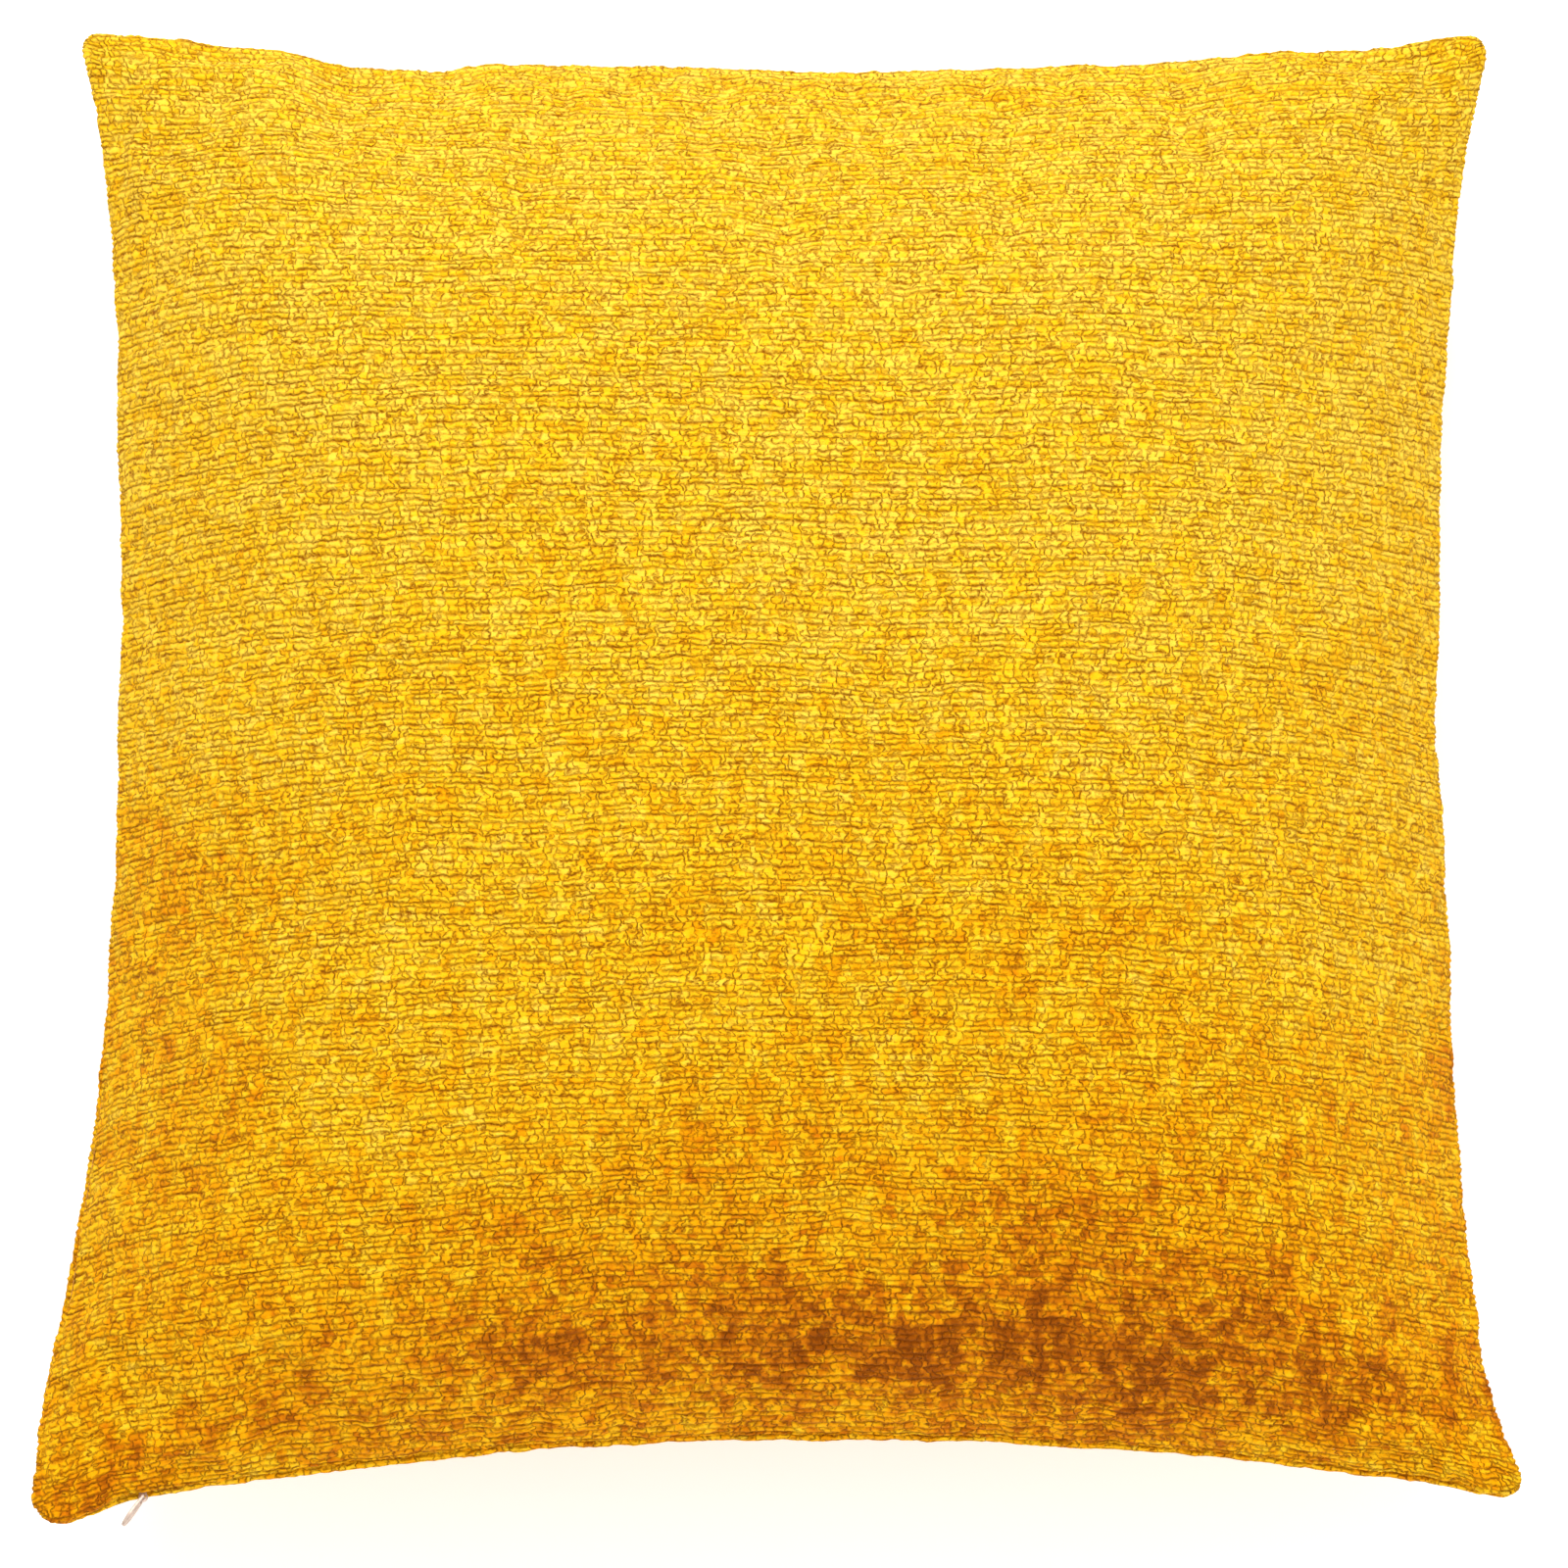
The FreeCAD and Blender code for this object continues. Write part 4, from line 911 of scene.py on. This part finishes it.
def chenille():
    """Rows of rounded tufts of uneven length, lighter where the pile stands and darker where it lies, with
    the painted shade carried in the weave attribute, painted shade in the gaps between tufts and a painted
    highlight on their crests.
    """
    m = Nodes("chenille")
    weave = m.add("ShaderNodeAttribute", attribute_name="weave").outputs["Vector"]
    split = m.add("ShaderNodeSeparateXYZ", {0: weave}).outputs
    # The third value carries pile brushed down and painted shade
    along, row, brushed_and_shaded = split[0], split[1], split[2]
    where = m.place()
    wander = m.noise(where, 300, 2.0, 0.6)
    row = m.swing(wander, 1.25, row)
    whole = m.maths("FLOOR", row)
    part = m.maths("FRACT", row)
    nearest = m.maths("MINIMUM", part, m.maths("SUBTRACT", 1.0, part))
    row_gap = m.maths("MULTIPLY", nearest, ROW_PITCH / MM)
    spot = m.maths("MULTIPLY_ADD", along, 1 / TUFT, m.swing(m.noise(where, 420, 1.0), 1.6, 0.0))
    spot = m.maths("MULTIPLY_ADD", whole, ROW_OFFSET, spot)
    edge, cell = (
        m.add("ShaderNodeTexVoronoi", {"W": spot, "Scale": 1.0}, voronoi_dimensions="1D", feature=feature)
        for feature in ("DISTANCE_TO_EDGE", "F1")
    )
    chance = m.add("ShaderNodeSeparateColor", {0: cell.outputs["Color"]}).outputs
    tuft_gap = m.maths("MULTIPLY", edge.outputs["Distance"], TUFT / MM)
    fibre = m.noise(where, 2300, 3.0, 0.65)
    closeness = m.noise(where, 230, 2.0, 0.6)
    row_gap = m.maths("ADD", row_gap, m.span(closeness, 0.5, 0.68, 0.0, 0.75))
    paired = m.maths("FRACT", m.maths("MULTIPLY", m.maths("ROUND", row), 0.5))
    row_gap = m.maths("MULTIPLY_ADD", paired, 0.4, row_gap)
    tuft_gap = m.maths("ADD", tuft_gap, m.span(closeness, 0.46, 0.3, 0.0, 0.8))
    tuft_gap = m.maths("ADD", tuft_gap, m.span(chance[2], 0.6, 1.0, 0.08, 0.6))
    round_gap = m.swing(m.noise(where, 1100, 1.0), 0.7, m.maths("SMOOTH_MIN", row_gap, tuft_gap, 0.6))
    height = m.maths("SMOOTH_MIN", m.span(round_gap, -0.1, 0.95), 1.0, 0.35)
    yarn = m.noise(m.place((0.16, 1.5, 1)), 260, 2.0, 0.6)
    streak = m.noise(m.place((1.0, 0.3, 1)), 210, 2.0, 0.6)
    patch = m.noise(where, 80, 3.0, 0.6)

    # How dark each tuft is: its own tone, yarn, streaks and patches, and how far its pile lies down, with
    # the painted shade carried in the weave attribute
    tuft_darkness = brushed_and_shaded
    streaked = m.maths("MULTIPLY_ADD", brushed_and_shaded, 1.2, 0.22)
    for value, share in ((chance[0], 0.27), (yarn, 0.45), (streak, streaked), (patch, 0.35), (fibre, 0.25)):
        tuft_darkness = m.swing(value, share, tuft_darkness)
    ramp = m.add("ShaderNodeValToRGB", {0: tuft_darkness})
    stops = ramp.color_ramp.elements
    stops[0].position, stops[0].color = 0.0, colour(255, 208, 62)
    stops[1].position, stops[1].color = 1.0, colour(158, 78, 0)
    for position, shade in ((0.25, (254, 194, 22)), (0.5, (246, 166, 0)), (0.75, (212, 118, 0))):
        stop = stops.new(position)
        stop.color = colour(*shade)
    base = ramp.outputs[0]
    # Each tuft's own random tone, then painted shade low on the tuft and a painted highlight on its crest
    light = m.span(chance[1], 0.0, 1.0, 0.95, 1.07)
    light = m.maths("ADD", light, m.span(height, 0.4, 0.95, -0.06, 0.08))
    speck = m.span(fibre, 0.25, 0.75, 0.84, 1.16)
    level = m.maths("MULTIPLY", light, speck)
    level = m.add("ShaderNodeCombineColor", {0: level, 1: level, 2: level}).outputs[0]
    base = m.blend(1.0, base, level, "MULTIPLY")
    # Painted shade in the hollows between tufts and rows, darker where the pile is brushed down or painted
    # shaded
    deep = m.blend(brushed_and_shaded, colour(160, 92, 0), colour(126, 56, 0))
    depth = m.span(m.noise(where, 170, 1.0), 0.35, 0.6, 0.6, 1.15)
    hollow_shade = m.maths("MULTIPLY", m.maths("POWER", m.span(height, 0.0, 0.9, 1.0, 0.0), 1.3), depth)
    base = m.blend(hollow_shade, base, deep)
    m.set(Base_Color=base, Roughness=m.span(fibre, 0.3, 0.7, 0.78, 0.95))
    m.set(Specular_IOR_Level=0.08, Sheen_Weight=0.05, Sheen_Roughness=0.4, Sheen_Tint=colour(255, 214, 90))
    m.bump(m.maths("MULTIPLY_ADD", fibre, 0.3, height), 1.0, 0.95 * MM)
    return m.material


def thread(name, light, dark):
    """Sewing thread: two plies that twist round each other."""
    m = Nodes(name)
    where = m.place()
    wave = m.add("ShaderNodeTexWave", {"Vector": where, "Scale": 900.0, "Distortion": 2.0})
    ply = wave.outputs["Fac"]
    fuzz = m.noise(where, 3000, 2.0)
    base = m.blend(m.span(m.maths("ADD", ply, m.maths("MULTIPLY", fuzz, 0.6)), 0.3, 1.3), dark, light)
    m.set(Base_Color=base, Roughness=m.span(fuzz, 0.3, 0.7, 0.5, 0.75))
    m.set(Sheen_Weight=0.2, Sheen_Roughness=0.4)
    m.bump(ply, 0.5, 0.1 * MM)
    return m.material


def woven(name, light, dark, pitch, depth):
    """A plain or twill weave of two crossing sets of yarn."""
    m = Nodes(name)
    turn = 2 * math.pi / pitch / 20
    inputs = {"Vector": m.place(), "Scale": turn, "Distortion": 0.6}
    sets = [m.add("ShaderNodeTexWave", inputs, bands_direction=way).outputs["Fac"] for way in "XY"]
    weave = m.maths("MULTIPLY", *sets)
    slub = m.noise(m.place((1, 0.15, 1)), 420, 2.0)
    soil = m.noise(m.place(), 14, 3.0)
    share = m.maths("ADD", m.maths("MULTIPLY", weave, 0.6), m.maths("MULTIPLY", slub, 0.5))
    base = m.blend(m.span(share, 0.15, 0.9), dark, light)
    base = m.blend(m.span(soil, 0.45, 0.75, 0.0, 0.25), base, dark)
    m.set(Base_Color=base, Roughness=m.span(slub, 0.3, 0.7, 0.7, 0.9))
    m.set(Sheen_Weight=0.1, Sheen_Roughness=0.5)
    m.bump(share, 0.4, depth)
    return m.material


def metal(name, light, dark, roughness, metallic=0.85):
    """Plated metal with a fine brushed grain, and grime where it's handled."""
    m = Nodes(name)
    grain = m.noise(m.place((1, 6, 6)), 1800, 3.0, 0.6)
    wear = m.noise(m.place(), 600, 3.0, 0.6)
    base = m.blend(m.span(wear, 0.35, 0.7), light, dark)
    m.set(Base_Color=base, Metallic=metallic)
    m.set(Roughness=m.span(m.maths("ADD", grain, wear), 0.6, 1.4, roughness - 0.08, roughness + 0.12))
    m.bump(grain, 0.12, 0.05 * MM)
    return m.material


def nylon(name, light, dark):
    m = Nodes(name)
    streak = m.noise(m.place((1, 3, 3)), 900, 2.0)
    base = m.blend(m.span(streak, 0.3, 0.7), dark, light)
    m.set(Base_Color=base, Roughness=m.span(streak, 0.3, 0.7, 0.32, 0.45))
    m.bump(streak, 0.15, 0.05 * MM)
    return m.material


def fibrefill(name):
    m = Nodes(name)
    strands = m.noise(m.place((1, 0.4, 1)), 260, 5.0, 0.7, 1.5)
    clumps = m.noise(m.place(), 45, 3.0)
    base = m.blend(m.span(clumps, 0.35, 0.7), colour(225, 224, 219), colour(246, 246, 243))
    m.set(Base_Color=base, Roughness=m.span(strands, 0.3, 0.7, 0.85, 1.0))
    m.set(Sheen_Weight=0.3, Sheen_Roughness=0.6)
    m.bump(m.maths("ADD", strands, clumps), 0.7, 2 * MM)
    return m.material


def paint(piece, material):
    """Gives a piece this material alone."""
    piece.data.materials.clear()
    piece.data.materials.append(material)


def dress(piece, material, slot, body, *nodes):
    """Gives a piece its material and its body, and puts it in place of CAD nodes. The slot is not used."""
    paint(piece, material)
    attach(piece, body)
    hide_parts(*nodes)
    return piece


# ---- the pillow

front_grid, back_grid = inflate()
cloth = chenille()
front = cover_panel("cover_front", front_grid, 1, 3, 400, 11, BRUSHED_AND_SHADED)
dress(front, cloth, "chenille", "cushion", "front_panel")
back = cover_panel("cover_back", back_grid, -1, 2, 300, 211, ())
dress(back, cloth, "chenille", "cushion", "back_panel")

yellow_thread = thread("sewing_thread", colour(224, 158, 28), colour(176, 108, 8))
UP = (0.0, 0.0, 1.0)


def seam_line(side_u, side_v):
    """A seam line just inside one sewn edge, its parameter running from -1 to 1 along the edge."""

    def place(part):
        along = np.asarray(part, float)
        u = np.full_like(along, side_u) if side_u else along
        v = np.full_like(along, side_v) if side_v else along
        x, y = plan(u, v, LIP_RADIUS, LIP_RADIUS)
        return np.stack([x, y, np.full_like(x, SEAM_HEIGHT)], -1)

    return place


def seam(name, line, start, end):
    made = stitches(f"seam_{name}", line, start, end, 3.0 * MM, 0.5 * MM, UP, 0.2, 0.1)
    return dress(made, yellow_thread, "sewing_thread", "cushion", f"seam_thread_{name}")


for word, side_u, side_v in (("right", 1, 0), ("left", -1, 0), ("top", 0, 1)):
    seam(word, seam_line(side_u, side_v), -0.95, 0.95)
seam("bottom_left", seam_line(0, -1), -0.962, -0.925)
seam("bottom_right", seam_line(0, -1), 0.925, 0.962)

tape_cloth = woven("zip_tape", colour(214, 150, 30), colour(160, 98, 10), 0.9 * MM, 0.15 * MM)
coil_nylon = nylon("zip_coil", colour(222, 164, 48), colour(178, 116, 20))
stop_metal = metal("zip_stop", colour(205, 200, 192), colour(150, 144, 136), 0.35)
for word, side in (("front", 1), ("back", -1)):
    strip = dress(tape(f"tape_{word}", side), tape_cloth, "zip_tape", "cushion", f"zip_tape_{word}")
    sewn = stitches(
        f"tape_stitches_{word}",
        lambda a, side=side: zip_place(a, side * 2.6 * MM, -2.15 * MM),
        -math.radians(9.3),
        math.radians(9.3),
        2.4 * MM,
        0.4 * MM,
        (0.0, -math.cos(ZIP_TURN), math.sin(ZIP_TURN)),
        0.2,
        0.2,
    )
    dress(sewn, yellow_thread, "sewing_thread", "cushion", f"zip_stitch_{word}")
    dress(coil(f"coil_{word}", side), coil_nylon, "zip_coil", "cushion", f"zip_coil_{word}")
for node in ("zip_top_stop_front", "zip_top_stop_back", "zip_bottom_stop"):
    paint(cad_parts[node], stop_metal)

nickel = metal("slider_metal", colour(220, 198, 182), colour(184, 160, 144), 0.4, 0.35)
dress(zip_slider(), nickel, "slider_metal", "slider", "slider_body")
dress(zip_pull(), nickel, "slider_metal", "pull", "pull_tab")

cotton = woven("insert_cloth", colour(244, 242, 236), colour(214, 211, 202), 0.8 * MM, 0.15 * MM)
for word, side in (("front", 1), ("back", -1)):
    panel = insert_panel(f"insert_{word}", side)
    dress(panel, cotton, "insert_cloth", "cushion", f"insert_{word}_panel")
stuffing = dress(filling(), fibrefill("filling"), "filling", "cushion", "insert_filling")
white_thread = thread("insert_thread", colour(240, 238, 230), colour(205, 202, 194))
CLOSING_HALF, INSERT_EDGE = 75.0, 478
gap_share = CLOSING_HALF / INSERT_EDGE
ring = stitches("insert_seam", insert_line, 0.5 + gap_share, 4.5 - gap_share, 3 * MM, 0.4 * MM, UP, 0.2, 0.1)
dress(ring, white_thread, "insert_thread", "cushion", "insert_seam_thread")
closing = stitches(
    "insert_closing", insert_line, 0.502 - gap_share, 0.498 + gap_share, 2.2 * MM, 0.4 * MM, UP, 0.2, 0.1
)
dress(closing, white_thread, "insert_thread", "cushion", "insert_closing_thread")

# ---- studio


def floor():
    mesh = bpy.data.meshes.new("floor")
    mesh.from_pydata([(-6, -6, 0), (6, -6, 0), (6, 6, 0), (-6, 6, 0)], [], [(0, 1, 2, 3)])
    made = shown("floor", mesh)
    m = Nodes("floor")
    grain = m.noise(m.place(), 900, 2.0)
    m.set(Base_Color=m.blend(grain, colour(250, 250, 250), colour(244, 244, 244)), Roughness=0.9)
    m.set(Emission_Color=(1, 1, 1, 1), Emission_Strength=0.28)
    mesh.materials.append(m.material)


def lamp(name, place, target, size, power):
    light = bpy.data.lights.new(name, "AREA")
    light.shape = "DISK"
    light.size = size
    light.energy = power
    made = shown(name, light)
    made.location = place
    made.rotation_euler = (Vector(target) - Vector(place)).to_track_quat("-Z", "Y").to_euler()


floor()
LIT_PLACE = (0, 0, 0.05)
lamp("key", (-0.2, 1.5, 1.9), LIT_PLACE, 1.4, 38)
lamp("fill", (0.7, -1.4, 1.7), LIT_PLACE, 2.2, 14)
world = bpy.data.worlds.new("studio")
world.use_nodes = True
world.node_tree.nodes["Background"].inputs[0].default_value = (1, 1, 1, 1)
world.node_tree.nodes["Background"].inputs[1].default_value = 0.78
bpy.context.scene.world = world
bpy.context.scene.view_settings.view_transform = "Standard"

# The camera looks down on the front, leaning a little towards the zip
CAMERA_TARGET = Vector((0.0012, -0.0070, SEAM_HEIGHT))
CAMERA_TURN = (math.radians(9.3), math.radians(-0.26), math.radians(-0.62))
CAMERA_DISTANCE = 1.65
camera_data = bpy.data.cameras.new("camera")
camera_data.lens = 110.5
camera_data.sensor_width = 36
camera = shown("camera", camera_data)
turned = Matrix.Rotation(CAMERA_TURN[2], 4, "Z") @ Matrix.Rotation(CAMERA_TURN[1], 4, "Y")
turned = turned @ Matrix.Rotation(CAMERA_TURN[0], 4, "X")
back_off = Matrix.Translation((0, 0, CAMERA_DISTANCE))
camera.matrix_world = Matrix.Translation(CAMERA_TARGET) @ turned @ back_off
bpy.context.scene.camera = camera


def plain(box):
    return [[round(float(x), 6) for x in corner] for corner in box]
